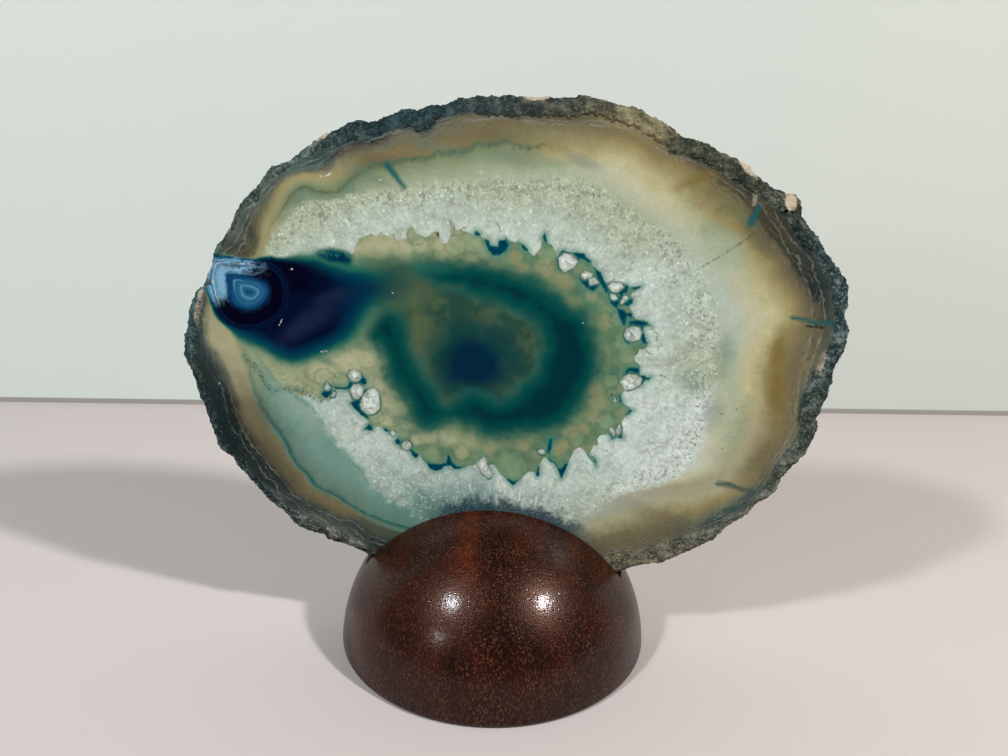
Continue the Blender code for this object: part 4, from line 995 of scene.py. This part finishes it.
def buildAgateFinish():
    material, tree, shader = newMaterial("dyedAgate")
    put, sums, onVector, both, add, ease, rescale, lay, blend, ramp = tied(
        tree, addNode, calc, vectorCalc, product, total, fade, stretch, layOver, blendValue, colourRamp)
    spread = put("TexCoord").outputs["Object"]
    point = onVector("MULTIPLY", spread, (1 / mm, 1 / mm, 1 / mm))   # now in mm
    parts = put("SeparateXYZ", {"Vector": point}).outputs
    across, up = parts["X"], parts["Z"]
    # the pattern runs right through the slab
    flat = put("CombineXYZ", {"X": across, "Y": up}).outputs[0]

    def field(name):
        return put("Attribute", attribute_name=name).outputs["Fac"]

    def ripple(name, detail=2.0, roughness=0.55, source=None):
        inputs = {"Vector": source or flat, "Scale": 1 / slab[name], "Detail": detail,
                  "Roughness": roughness}
        return put("TexNoise", inputs, noise_dimensions="2D").outputs["Fac"]

    def roundRipple(name, detail):
        inputs = {"Vector": point, "Scale": 1 / slab[name], "Detail": detail, "Roughness": 0.6}
        return put("TexNoise", inputs).outputs["Fac"]

    def shifted(value, amount):
        # a ripple centred on 0 and made stronger, to move an edge by
        return sums("MULTIPLY_ADD", sums("SUBTRACT", value, 0.5), amount, 0.0)

    def cells(vector, name):
        # for each grain: a tone of its own, a number to pick it by, and the way to its middle
        node = put("TexVoronoi", {"Vector": vector, "Scale": 1 / slab[name]}, voronoi_dimensions="2D")
        tone = put("SeparateColor", {"Color": node.outputs["Color"]}).outputs
        return tone["Red"], tone["Green"], node.outputs["Distance"]

    def dots(vector, size, share, reach, flatOrRound="2D"):
        # round spots in a share of the cells
        node = put("TexVoronoi", {"Vector": vector, "Scale": 1 / size}, voronoi_dimensions=flatOrRound)
        pick = put("SeparateColor", {"Color": node.outputs["Color"]}).outputs["Green"]
        return both(ease(node.outputs["Distance"], reach, reach * 0.4), ease(pick, share, share - 0.06))

    def seams(vector, name):
        # how far from the nearest seam between two grains
        return put("TexVoronoi", {"Vector": vector, "Scale": 1 / slab[name]}, voronoi_dimensions="2D",
                   feature="DISTANCE_TO_EDGE").outputs["Distance"]

    def around(middleUp, across, up):
        # degrees round a point on the middle line
        turned = sums("ARCTAN2", across, sums("SUBTRACT", up, middleUp))
        return sums("MULTIPLY", turned, 57.3)   # radians to degrees

    def tint(below, name, shade, amount):
        return lay(below, dye[shade], sums("MULTIPLY", field(name), amount))

    def paintOver(below, shade, *masks):
        return lay(below, dye[shade] if isinstance(shade, str) else shade, both(*masks))

    grit = ripple("gritSize", roughness=0.7)
    fine = ripple("fineSize")
    middle = ripple("middleSize")
    broad = ripple("broadSize")
    wobble = add(shifted(middle, 1.0), shifted(fine, 0.35))
    bend = put("CombineXYZ", {"X": shifted(middle, 1.6), "Y": shifted(fine, 1.2)})
    bent = onVector("ADD", flat, bend.outputs[0])

    crust = add(field("crustEdge"), shifted(fine, 1.3), shifted(middle, 1.2), 0.35)
    bandDepth = field("bandDepth")
    quartzEdge = field("quartzEdge")
    core = field("core")
    bearing = add(field("bearing"), shifted(broad, 16.0), shifted(middle, 5.0))

    # fibres that run outwards from the core
    fibreTurn = around(slab["middleUp"], across, up)
    fibreWay = put("CombineXYZ", {"X": fibreTurn, "Y": sums("MULTIPLY", core, 0.30)})
    fibres = ripple("fibreSize", 2.0, 0.65, fibreWay.outputs[0])

    # the bands, sector by sector
    depth = sums("ADD", bandDepth, sums("MULTIPLY", wobble, 0.16))
    deepest = 3.3        # the end of the ramps
    place = sums("DIVIDE", depth, deepest)
    paint = None
    for (before, _), (degrees, stops) in zip([sectors[0]] + sectors, sectors):
        inSector = ramp(place, [(max(at, 0.001) / deepest, dye[shade]) for at, shade in stops])
        paint = inSector if paint is None else lay(paint, inSector, ease(bearing, before, degrees))
    paint = tint(paint, "wedgeTint", "charcoal", 0.6)
    paint = tint(paint, "brownTint", "umber", 0.5)
    paint = tint(paint, "amberTint", "amber", 0.8)
    paint = tint(paint, "greenTint", "aquaDeep", 0.45)

    # the wavy green thread over the top, with fainter ones beside it
    overTop = both(ease(bearing, 160.0, 174.0), ease(bearing, 244.0, 232.0))
    thread = ease(sums("ABSOLUTE", add(depth, shifted(fine, 0.3), -2.0)), 0.11, 0.0)
    paint = paintOver(paint, "greenLine", thread, overTop, rescale(middle, 0.4, 0.6, 0.2, 0.8))
    threads = ease(sums("SINE", sums("MULTIPLY", add(depth, shifted(fine, 0.12)), 36.0)), 0.2, 1.0)
    nearThread = both(ease(bandDepth, 1.55, 1.9), ease(bandDepth, 2.9, 2.2),
                      ease(bearing, 188.0, 204.0), overTop)
    paint = paintOver(paint, "greenLine", threads, nearThread, rescale(middle, 0.4, 0.6, 0.0, 0.3))

    # fine banding and cloudiness in the skin and the tan bands
    bandWaves = sums("SINE", sums("MULTIPLY", add(crust, shifted(broad, 6.0)), 6.0))
    inSkin = both(ease(bandDepth, 0.1, 0.6), ease(bandDepth, 1.35, 0.9),
                  rescale(middle, 0.35, 0.6, 0.2, 1.0))
    paint = paintOver(paint, "lilac", ease(bandWaves, 0.75, 1.0), inSkin, 0.30)
    paint = paintOver(paint, "soot", ease(bandWaves, 0.0, -1.0), inSkin, 0.28)
    outerLine, innerLine = field("outerLine"), field("innerLine")
    leftSide = both(ease(bearing, 250.0, 258.0), ease(bearing, 296.0, 284.0))
    for line, half, amount in ((outerLine, 0.05, 0.42), (innerLine, 0.06, 0.38)):
        away = sums("ABSOLUTE", add(line, shifted(fine, 0.9)))
        seen = both(ease(away, half + 0.18, half * 0.2), rescale(middle, 0.38, 0.6, 0.3, 1.0),
                    ease(depth, 1.25, 0.95))
        paint = paintOver(paint, "dust", seen, blend(amount, amount * 0.35, leftSide))

    # quartz: sandy towards the bands, then sugary, with wider clear points and fibres towards the core
    grainTone, grainPick, _ = cells(flat, "grainSize")
    flakeTone, flakePick, flakeCentre = cells(bent, "flakeSize")
    pointTone, _, pointCentre = cells(bent, "pointSize")
    pointSeam = seams(bent, "pointSize")
    inQuartz = ease(add(quartzEdge, shifted(flakeTone, 1.6), shifted(middle, 1.5)), -0.9, 1.0)
    towardsCore = both(ease(core, -8.5, -1.0), ease(quartzEdge, 0.0, 3.0))
    topOrRight = sums("MAXIMUM", ease(up, 72.0, 88.0), ease(across, 14.0, 30.0))
    sand = both(ease(add(quartzEdge, shifted(fine, 3.0), shifted(middle, 3.0)), -1.6, 0.8),
                ease(quartzEdge, 4.5, 1.0), topOrRight)
    lowerLeft = both(ease(across, -12.0, -22.0), ease(up, 62.0, 54.0))
    teal = ease(sums("ABSOLUTE", add(quartzEdge, shifted(fine, 1.6), shifted(middle, 1.4), 0.4)), 1.1, 0.1)
    paint = paintOver(paint, "aquaLine", teal, lowerLeft, rescale(fine, 0.36, 0.6, 0.1, 0.7))
    whiter = lay(dye["clearWhite"], dye["clearBlue"], rescale(middle, 0.35, 0.65, 0.0, 1.0))
    paint = paintOver(paint, whiter, sums("MAXIMUM", towardsCore, both(inQuartz, lowerLeft, 0.7)), 0.65)
    farFromCore = sums("SUBTRACT", 1.0, towardsCore)
    gritAmount = add(both(sand, 0.20), both(inQuartz, rescale(towardsCore, 0.0, 1.0, 0.12, 0.02)), 0.09)
    sugar = add(shifted(grit, 1.5), shifted(grainTone, 0.7), shifted(flakeTone, 0.3))
    tone = sums("MULTIPLY_ADD", sugar, gritAmount, 1.0)
    tone = sums("MULTIPLY_ADD", add(shifted(pointTone, 0.16), shifted(pointCentre, -0.14)), inQuartz, tone)
    unevenness = add(shifted(fine, 0.24), shifted(middle, 0.18), shifted(flakeTone, 0.08))
    tone = sums("MULTIPLY_ADD", unevenness, inQuartz, tone)
    tone = sums("MULTIPLY_ADD", shifted(fibres, 0.42),
                both(inQuartz, rescale(towardsCore, 0.0, 1.0, 0.3, 1.0)), tone)
    tone = add(tone, shifted(middle, 0.16), shifted(fine, 0.12))
    paint = lay(paint, tone, 1.0, "MULTIPLY")
    darkSeam = both(ease(pointSeam, 0.05, 0.0), ease(middle, 0.52, 0.42), inQuartz)
    paint = paintOver(paint, "seam", darkSeam, 0.3)
    flakeSeam = seams(bent, "flakeSeamSize")
    flakeEdge = both(ease(flakeSeam, 0.05, 0.0), ease(fine, 0.54, 0.44), inQuartz, farFromCore)
    paint = paintOver(paint, "seam", flakeEdge, 0.25)
    besideSeam = sums("ABSOLUTE", sums("ADD", pointSeam, -0.07))
    facetEdge = both(ease(besideSeam, 0.04, 0.0), ease(middle, 0.46, 0.56), inQuartz)
    paint = paintOver(paint, "glint", facetEdge, 0.22)
    shadeGrain = ease(add(grainPick, shifted(fine, -0.9)), 0.86, 0.94)
    paint = paintOver(paint, "grain", shadeGrain, sand, 0.5)
    paint = paintOver(paint, "seam", shadeGrain, inQuartz, farFromCore, 0.25)
    glintGrain = both(ease(add(grainPick, shifted(middle, 0.4)), 0.10, 0.05), inQuartz)
    paint = paintOver(paint, "glint", glintGrain, 0.22)
    sparkle = both(ease(flakeCentre, 0.2, 0.08), ease(flakePick, 0.94, 0.97), ease(quartzEdge, -1.5, 0.5))
    paint = paintOver(paint, "glint", sparkle, 0.8)

    # needles that stand over the dome, and painted shade on the face along the dome's edge
    acrossSquare = sums("POWER", across, 2.0)
    upSquare = sums("POWER", sums("SUBTRACT", up, dome["middleUp"]), 2.0)
    fromDome = add(sums("SQRT", add(acrossSquare, upSquare)), -dome["faceRadius"])
    needleTurn = around(dome["middleUp"], across, up)
    needleWay = put("CombineXYZ", {"X": needleTurn, "Y": sums("MULTIPLY", fromDome, 0.22)})
    needles = ripple("needleSize", 2.0, 0.7, needleWay.outputs[0])
    overDome = both(ease(across, -15.0, -8.0), ease(across, 24.0, 14.0))
    needleZone = both(ease(fromDome, 8.0, 2.0), ease(across, -15.0, -8.0), ease(across, 18.0, 12.0))
    paint = paintOver(paint, "duskPale", needleZone, ease(needles, 0.52, 0.40), 0.55)
    paint = paintOver(paint, "glint", needleZone, ease(needles, 0.58, 0.70), 0.6)
    # painted shade on the face, darkest where it meets the dome, with pale specks at its outer edge
    domeShadeReach = add(fromDome, shifted(needles, -2.4), shifted(fine, 2.0), shifted(middle, 4.0),
                   shifted(grit, 1.6))
    paint = paintOver(paint, "dusk", ease(domeShadeReach, 3.9, 0.6), overDome, 0.92)
    paint = paintOver(paint, "duskPale", ease(domeShadeReach, 3.5, 2.0), overDome, ease(grit, 0.54, 0.64), 0.5)

    # the dyed core inside the quartz points
    cloud, clear = add(field("clouds"), shifted(fine, 0.5)), add(field("clearPoints"), shifted(fine, 0.5))
    rim = ease(core, 5.0, 1.0)
    inside = lay(dye["coreSage"], dye["coreGreen"], rescale(middle, 0.35, 0.65, 0.0, 0.6))
    inside = paintOver(inside, "coreBeige", ease(across, -14.0, -27.0), 0.7)
    inside = paintOver(inside, "coreBeige", ease(up, 80.5, 84.0), ease(across, 4.0, -4.0), 0.6)
    khakiPoints = both(ease(pointCentre, 0.5, 0.15), ease(pointTone, 0.45, 0.6), rim, 0.5)
    inside = paintOver(inside, "coreKhaki", khakiPoints)
    inside = paintOver(inside, "coreGreen", ease(pointSeam, 0.16, 0.0), rim, ease(middle, 0.42, 0.58), 0.4)
    cloudShade = lay(dye["coreKhaki"], dye["coreBeige"], ease(across, 2.0, -12.0))
    inside = paintOver(inside, "coreGreen", ease(cloud, -0.1, 0.2), ease(cloud, 0.5, 0.2), 0.3)
    inside = paintOver(inside, cloudShade, ease(cloud, 0.15, 0.95), 0.75)
    inside = paintOver(inside, "coreGreen", ease(clear, 0.0, 0.2), ease(clear, 0.42, 0.2), 0.45)
    inside = paintOver(inside, "coreClear", ease(clear, 0.3, 0.9), 0.4)
    inside = tint(inside, "tealTint", "coreTeal", 0.6)
    clouding = ripple("cloudSize")
    ring = add(field("ring"), sums("MULTIPLY", wobble, 1.3), shifted(clouding, 3.0))
    within = add(field("ringOuter"), sums("MULTIPLY", wobble, 1.5), shifted(clouding, 3.0))
    inside = paintOver(inside, "coreGreen", ease(within, -4.2, -0.8), 0.8)
    inside = paintOver(inside, "coreDark", ease(within, -2.2, 1.0))
    inside = paintOver(inside, "coreOlive", ease(within, 3.0, 7.0), ease(clouding, 0.44, 0.62), 0.4)
    inside = paintOver(inside, "coreOlive", field("oliveTint"), rescale(middle, 0.3, 0.7, 0.7, 1.0), 0.85)
    centre = add(field("centre"), sums("MULTIPLY", wobble, 0.9))
    inside = paintOver(inside, "halo", ease(centre, -6.5, -0.5), 0.85)
    inside = paintOver(inside, "coreNavy", ease(centre, -1.6, 2.4))
    inside = paintOver(inside, "coreTeal", ease(ring, -2.4, -0.2), 0.6)
    inside = paintOver(inside, "ringTeal", ease(ring, -1.3, 1.2))
    inside = paintOver(inside, "ringDeep", ease(ring, 0.8, 3.2))
    insideTone = add(1.0, shifted(grit, 0.16), shifted(fine, 0.16), shifted(clouding, 0.3))
    inside = lay(inside, insideTone, 1.0, "MULTIPLY")

    # where the quartz ends
    tooth = add(core, shifted(fine, 0.3))
    paint = lay(paint, inside, ease(tooth, -0.12, 0.2))

    # dye pooled between the points
    pool = add(field("dyePool"), shifted(fine, 0.35))
    paint = paintOver(paint, "poolEdge", ease(pool, -1.1, -0.15), 0.5)
    poolShade = lay(dye["poolTeal"], dye["poolNavy"], ease(add(pool, shifted(middle, 0.8)), 0.1, 0.5))
    paint = paintOver(paint, poolShade, ease(pool, -0.16, 0.2))

    # the fan of dark dye, crisp along its top and soft below and to the right
    crispTop = both(ease(up, 73.0, 79.0), ease(across, -34.0, -41.0))
    crisp = sums("MAXIMUM", crispTop, ease(across, -48.0, -53.0))
    soft = blend(rescale(across, -32.0, -20.0, 1.0, 1.5), 0.24, crisp)
    fan = sums("DIVIDE", add(field("fan"), sums("MULTIPLY", wobble, 0.6)), soft)
    fanPaint = ramp(rescale(fan, -4.0, 4.0, 0.0, 1.0), [
        (0.0, dye["fanSage"]), (0.24, dye["fanSage"]), (0.38, dye["fanGreen"]),
        (0.5, dye["fanTeal"]), (0.64, dye["fanBlue"]), (0.82, dye["fanNavy"])])
    fanPaint = paintOver(fanPaint, "fanBlue", ease(across, -33.0, -26.0), ease(fan, 0.5, 2.0), 0.75)
    fanPaint = paintOver(fanPaint, "halo", ease(across, -27.0, -19.0), 0.7)
    fanPaint = paintOver(fanPaint, "fanBlack", field("blackTint"), 0.9)
    fanPaint = paintOver(fanPaint, "fanViolet", field("violetTint"), rescale(middle, 0.3, 0.7, 0.6, 0.95))
    paint = paintOver(paint, fanPaint, ease(fan, -3.4, -0.3), rescale(across, -24.0, -16.0, 1.0, 0.45))
    spill = add(field("spill"), both(add(shifted(fine, 0.9), shifted(middle, 1.2)), field("spill")))
    paint = paintOver(paint, "fanGreen", ease(spill, 0.02, 0.5), 0.85)
    paint = paintOver(paint, "fanTeal", ease(spill, 0.35, 0.85))
    paint = paintOver(paint, "fanBlue", ease(spill, 0.7, 1.1))
    paint = tint(paint, "bandTint", "fanGreen", 0.55)

    # the eye: faint rings on its dark side, pale cloudy ones at the top left
    eye = add(field("eye"), shifted(fine, 0.3), shifted(middle, 0.35))
    eyeRange = 6.0       # the end of the ramps, in rings
    eyePlace = sums("DIVIDE", eye, eyeRange)

    def ringRamp(stops):
        return ramp(eyePlace, [(at / eyeRange, dye[shade]) for at, shade in stops])

    far = ringRamp([
        (0, "fanNavy"), (0.2, "eyeFaint"), (0.4, "fanNavy"), (0.6, "fanNavy"), (0.8, "eyeFaint"),
        (1, "fanBlack"), (1.75, "fanBlack"), (2.05, "eyeLine"), (2.3, "eyeDeep"), (2.85, "eyeBlue"),
        (3, "eyeSoft"), (3.25, "eyeBlue"), (3.8, "eyeSoft"), (4, "eyePale"), (4.35, "eyeSoft"),
        (4.8, "eyeBlue"), (5.1, "eyeDeep")])
    near = ringRamp([
        (0, "eyeDeep"), (0.12, "eyeBlue"), (0.4, "eyePale"), (0.6, "eyeCloud"), (0.85, "eyeBlue"),
        (1.02, "eyeWhite"), (1.15, "eyePale"), (1.4, "eyeCloud"), (1.75, "eyeCloud"), (1.95, "eyeSoft"),
        (2.1, "eyeDeep"), (2.7, "eyeDeep"), (3, "eyePale"), (3.2, "eyeBlue"), (4, "eyeSoft"),
        (5, "eyeDeep")])
    slant = sums("MULTIPLY_ADD", across, -1.0, sums("MULTIPLY", up, 0.9))
    nearSide = both(ease(add(slant, shifted(fine, 3.0), shifted(middle, 4.0)), 116.5, 119.5),
                    ease(up, 70.5, 74.0))
    eyePaint = lay(far, near, nearSide)
    wisps = ripple("wispSize", 3.0, 0.6, onVector("MULTIPLY", bent, (0.35, 1.4, 1.0)))
    onTop = both(ease(up, 77.4, 78.6), ease(across, -42.5, -46.5), ease(across, -54.0, -51.5))
    eyePaint = paintOver(eyePaint, "eyeLine", onTop, ease(wisps, 0.56, 0.36), 0.65)
    eyePaint = paintOver(eyePaint, "eyeCloud", onTop, ease(wisps, 0.48, 0.70), 0.6)
    paint = paintOver(paint, eyePaint, ease(eye, -0.15, 0.15))

    # clear points that stand free
    crystal = field("crystal")
    clearPaint = lay(dye["clearWhite"], dye["clearGrey"], rescale(flakeTone, 0.2, 0.8, 0.0, 0.8))
    clearPaint = paintOver(clearPaint, "coreSage", ease(fine, 0.55, 0.4), field("crystalTone"), 0.6)
    clearPaint = paintOver(clearPaint, "glint", ease(crystal, 0.35, 0.9), ease(fine, 0.46, 0.58), 0.45)
    clearPaint = paintOver(clearPaint, "glint", ease(flakeSeam, 0.06, 0.0), 0.25)
    clearPaint = paintOver(clearPaint, "seam", ease(crystal, 0.4, 0.02), 0.45)
    edge = both(ease(sums("ABSOLUTE", sums("ADD", crystal, 0.1)), 0.3, 0.06),
                rescale(middle, 0.42, 0.6, 0.3, 1.0))
    paint = paintOver(paint, "coreTeal", edge, 0.9)
    paint = paintOver(paint, clearPaint, ease(crystal, -0.08, 0.12))

    # thin marks; the pale ones are partly painted glints
    for name, shadeName, start, end, amount in (
            ("greenMark", "greenLine", -1.1, 0.15, 0.4), ("tealMark", "tealMark", -0.7, 0.2, 0.9),
            ("slateMark", "slateMark", -0.6, 0.2, 0.85), ("brownMark", "brownMark", -0.2, 0.06, 0.6),
            ("blackMark", "soot", -0.14, 0.06, 0.8), ("paleStreakAndGlint", "glint", -0.14, 0.06, 0.5),
            ("softMark", "wax", -0.3, 0.08, 0.35)):
        mark = add(field(name), shifted(fine, 0.6), shifted(grit, 0.7))
        paint = paintOver(paint, shadeName, ease(mark, start, end), amount)
    chain = dots(flat, slab["chainSize"], 0.85, 0.42)
    paint = paintOver(paint, "tealLine", chain, ease(field("greenMark"), -1.0, -0.2), 0.75)

    # the rind over everything outside its line, and all round the edge
    turn = sums("DIVIDE", bearing, 360.0)
    rindBase = ramp(turn, [(degrees / 360, screenColour(*shade)) for degrees, shade, _ in rindShades])
    rindFleck = ramp(turn, [(degrees / 360, screenColour(*shade)) for degrees, _, shade in rindShades])
    patches, lumps = roundRipple("rindPatchSize", 2.0), roundRipple("rindLumpSize", 1.0)
    rind = lay(rindBase, dye["soot"], both(ease(patches, 0.54, 0.36), 0.6))
    rind = paintOver(rind, rindFleck, ease(patches, 0.5, 0.68), 0.5)
    rind = paintOver(rind, rindFleck, ease(lumps, 0.48, 0.7), 0.3)
    for shift, size, share, shade, amount in (
            ((0.0, 0.0, 0.0), 0.5, 0.42, rindFleck, 0.75), ((3.1, 5.2, 1.7), 0.55, 0.5, "soot", 0.7)):
        spots = dots(onVector("ADD", point, shift), size, share, 0.5, "3D")
        rind = paintOver(rind, shade, spots, rescale(lumps, 0.36, 0.6, 0.15, 1.0), amount)
    chips = add(field("chipTint"), both(add(shifted(lumps, 1.6), shifted(patches, 1.2)), field("chipTint")))
    rind = paintOver(rind, "chip", ease(chips, 0.3, 0.75), 0.8)
    onFace = field("polished")
    offFace = sums("SUBTRACT", 1.0, onFace)
    eyeWindow = both(ease(up, 75.8, 77.2), ease(up, 82.0, 81.0), ease(across, -50.0, -52.5))
    outside = sums("MAXIMUM", both(ease(crust, 1.1, -0.6), 0.96), offFace)
    paint = paintOver(paint, rind, outside, blend(1.0, 0.0, eyeWindow))
    rough = sums("MAXIMUM", ease(crust, 0.3, -0.25), offFace)

    feed(tree, shader.inputs["Base Color"], paint)
    roughness = rescale(rough, 0.0, 1.0, slab["polishedRoughness"], slab["rindRoughness"])
    feed(tree, shader.inputs["Roughness"], roughness)
    shader.inputs["Specular IOR Level"].default_value = slab["shine"]
    bumps = {"Height": both(rough, add(lumps, patches)), "Strength": slab["rindBump"],
             "Distance": slab["rindDepth"]}
    feed(tree, shader.inputs["Normal"], put("Bump", bumps).outputs["Normal"])
    return material


agateSlice.data.materials.append(buildAgateFinish())
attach(agateSlice, "root")
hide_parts("agate_slice")
print("the slice has its finish")


# the turned half-ball it stands in

ball = {
    "radius": domeHigh.x,
    "height": domeHigh.z,
    "baseRound": 0.9 * mm,
    "slotWidth": 7.6 * mm,
    "slotFloor": 10.6 * mm,
    "bladeRadius": 60 * mm,
    "edgeBreak": 0.22 * mm,
    "cornerSteps": 6,
    "roundSteps": 40,
    "steps": 160,             # round about
    "bladeSteps": 240,
    "cutAngle": 35,           # degrees: sharper edges than this are broken
    "creaseAngle": 30,        # degrees: sharper edges than this keep their crease
    # the wood's look
    "grainStretch": 0.42,     # below 1 draws the grain out upright
    "roughness": 0.33,
    "shine": 0.2,
    "shineTint": (1.0, 0.62, 0.48, 1.0),
    "wax": 0.26,
    "waxRoughness": 0.12,
    "poreBump": 0.5,
    "waxBump": 0.2,
    "poreDepth": 0.12 * mm,
}


def buildBall():
    # half the outline, from the middle of the base up to the top, turned once round
    bm = bmesh.new()
    radius, middle, rounding = ball["radius"], ball["height"] - ball["radius"], ball["baseRound"]
    cornerZ = rounding
    cornerX = math.sqrt((radius - rounding) ** 2 - (cornerZ - middle) ** 2)
    outline = [(0.0, 0.0), (cornerX * 0.5, 0.0)]
    for step in range(ball["cornerSteps"] + 1):
        angle = math.radians(-90 + 90 * step / ball["cornerSteps"])
        outline.append((cornerX + rounding * math.cos(angle), cornerZ + rounding * math.sin(angle)))
    start = math.asin((cornerZ + rounding * 0.6 - middle) / radius)
    for step in range(ball["roundSteps"] + 1):
        angle = start + (math.pi / 2 - start) * step / ball["roundSteps"]
        outline.append((radius * math.cos(angle), middle + radius * math.sin(angle)))
    verts = [bm.verts.new((x, 0, z)) for x, z in outline]
    edges = [bm.edges.new(pair) for pair in zip(verts, verts[1:])]
    bmesh.ops.spin(bm, geom=verts + edges, cent=(0, 0, 0), axis=(0, 0, 1), angle=math.tau,
                   steps=ball["steps"], use_merge=True)
    bmesh.ops.remove_doubles(bm, verts=bm.verts, dist=weld)
    bmesh.ops.recalc_face_normals(bm, faces=bm.faces)
    piece = newPiece("domeStand", bm)

    # the slot, cut by a round blade
    saw = bmesh.new()
    bmesh.ops.create_cone(saw, cap_ends=True, segments=ball["bladeSteps"], radius1=ball["bladeRadius"],
                          radius2=ball["bladeRadius"], depth=ball["slotWidth"])
    bmesh.ops.rotate(saw, verts=saw.verts, matrix=Matrix.Rotation(math.radians(90), 3, "X"))
    bmesh.ops.translate(saw, verts=saw.verts, vec=(0, 0, ball["slotFloor"] + ball["bladeRadius"]))
    blade = newPiece("blade", saw)
    cut = piece.modifiers.new("slot", "BOOLEAN")
    cut.operation = "DIFFERENCE"
    cut.object = blade
    cut.solver = "EXACT"
    bpy.context.view_layer.update()
    shaped = bpy.data.meshes.new_from_object(piece.evaluated_get(bpy.context.evaluated_depsgraph_get()))
    piece.modifiers.clear()
    piece.data = shaped
    bpy.data.objects.remove(blade)

    bm = bmesh.new()
    bm.from_mesh(shaped)
    bmesh.ops.remove_doubles(bm, verts=bm.verts, dist=2 * weld)
    sharp = [edge for edge in bm.edges
             if len(edge.link_faces) == 2 and edge.calc_face_angle() > math.radians(ball["cutAngle"])]
    bmesh.ops.bevel(bm, geom=sharp, affect="EDGES", offset=ball["edgeBreak"], segments=2, profile=0.5,
                    material=-1, clamp_overlap=True)
    for face in bm.faces:
        face.smooth = True
    crease = math.radians(ball["creaseAngle"])
    for edge in bm.edges:
        edge.smooth = not (len(edge.link_faces) == 2 and edge.calc_face_angle() > crease)
    bm.to_mesh(shaped)
    bm.free()
    print("dome:", len(shaped.vertices), "vertices")
    return piece


wood = {name: screenColour(*shade) for name, shade in {
    "heart": (42, 14, 7), "dark": (22, 7, 4), "warm": (88, 34, 8), "fleck": (108, 70, 52),
    "pore": (12, 4, 2)}.items()}


def buildWoodFinish():
    material, tree, shader = newMaterial("waxedHardwood")
    put, sums, onVector, both, ease, rescale, lay = tied(
        tree, addNode, calc, vectorCalc, product, fade, stretch, layOver)
    spread = put("TexCoord").outputs["Object"]
    point = onVector("MULTIPLY", spread, (1 / mm, 1 / mm, 1 / mm))
    parts = put("SeparateXYZ", {"Vector": point}).outputs
    along = onVector("MULTIPLY", point, (1.0, 1.0, ball["grainStretch"]))

    def ripple(size, detail=2.0, source=None):
        inputs = {"Vector": source or along, "Scale": 1 / size, "Detail": detail}
        return put("TexNoise", inputs).outputs["Fac"]

    # dark and light growth, darker to the right, and painted shade low down
    cloudy = sums("MULTIPLY_ADD", parts["X"], 0.003, ripple(7.0, 3.0))
    paint = lay(wood["heart"], wood["dark"], ease(cloudy, 0.36, 0.68))
    # painted shade towards the foot of the ball
    paint = lay(paint, wood["dark"], both(ease(parts["Z"], 12.0, 0.0), 0.6))

    # a warm streak up the front
    sway = sums("MULTIPLY_ADD", ripple(4.0), 3.0, sums("ADD", parts["X"], 3.0))
    streak = both(ease(sums("ABSOLUTE", sway), 3.2, 0.0), ease(parts["Z"], 20.0, 27.0),
                  ease(parts["Y"], 8.0, -6.0))
    paint = lay(paint, wood["warm"], both(streak, rescale(ripple(1.2, 3.0), 0.35, 0.65, 0.15, 0.6)))

    # pale flecks and dark pores, drawn out along the grain
    for size, share, reach, amount in ((0.36, 0.75, 0.55, 0.5), (0.6, 0.35, 0.4, 0.3)):
        flecks = useGroup(tree, specks, Point=along, Size=size, Share=share, Reach=reach)
        seen = both(flecks, rescale(ripple(3.0), 0.3, 0.7, 0.3, 1.0), amount)
        paint = lay(paint, wood["fleck"], seen)
    beside = onVector("ADD", along, (5.0, 3.0, 1.0))
    pores = useGroup(tree, specks, Point=beside, Size=0.55, Share=0.35, Reach=0.4)
    paint = lay(paint, wood["pore"], both(pores, 0.6))
    feed(tree, shader.inputs["Base Color"], paint)

    # a rubbed wax shine with the pores showing through it
    for socket, name in (("Roughness", "roughness"), ("Specular IOR Level", "shine"),
                         ("Specular Tint", "shineTint"), ("Coat Weight", "wax"),
                         ("Coat Roughness", "waxRoughness")):
        shader.inputs[socket].default_value = ball[name]
    dents = sums("MULTIPLY_ADD", pores, -0.8, sums("MULTIPLY", ripple(0.28, 2.0, point), 0.9))
    for socket, name in (("Normal", "poreBump"), ("Coat Normal", "waxBump")):
        bump = put("Bump", {"Height": dents, "Strength": ball[name], "Distance": ball["poreDepth"]})
        feed(tree, shader.inputs[socket], bump.outputs["Normal"])
    return material


domeStand = buildBall()
domeStand.data.materials.clear()
domeStand.data.materials.append(buildWoodFinish())
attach(domeStand, "root")
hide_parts("dome_stand")

print("done")
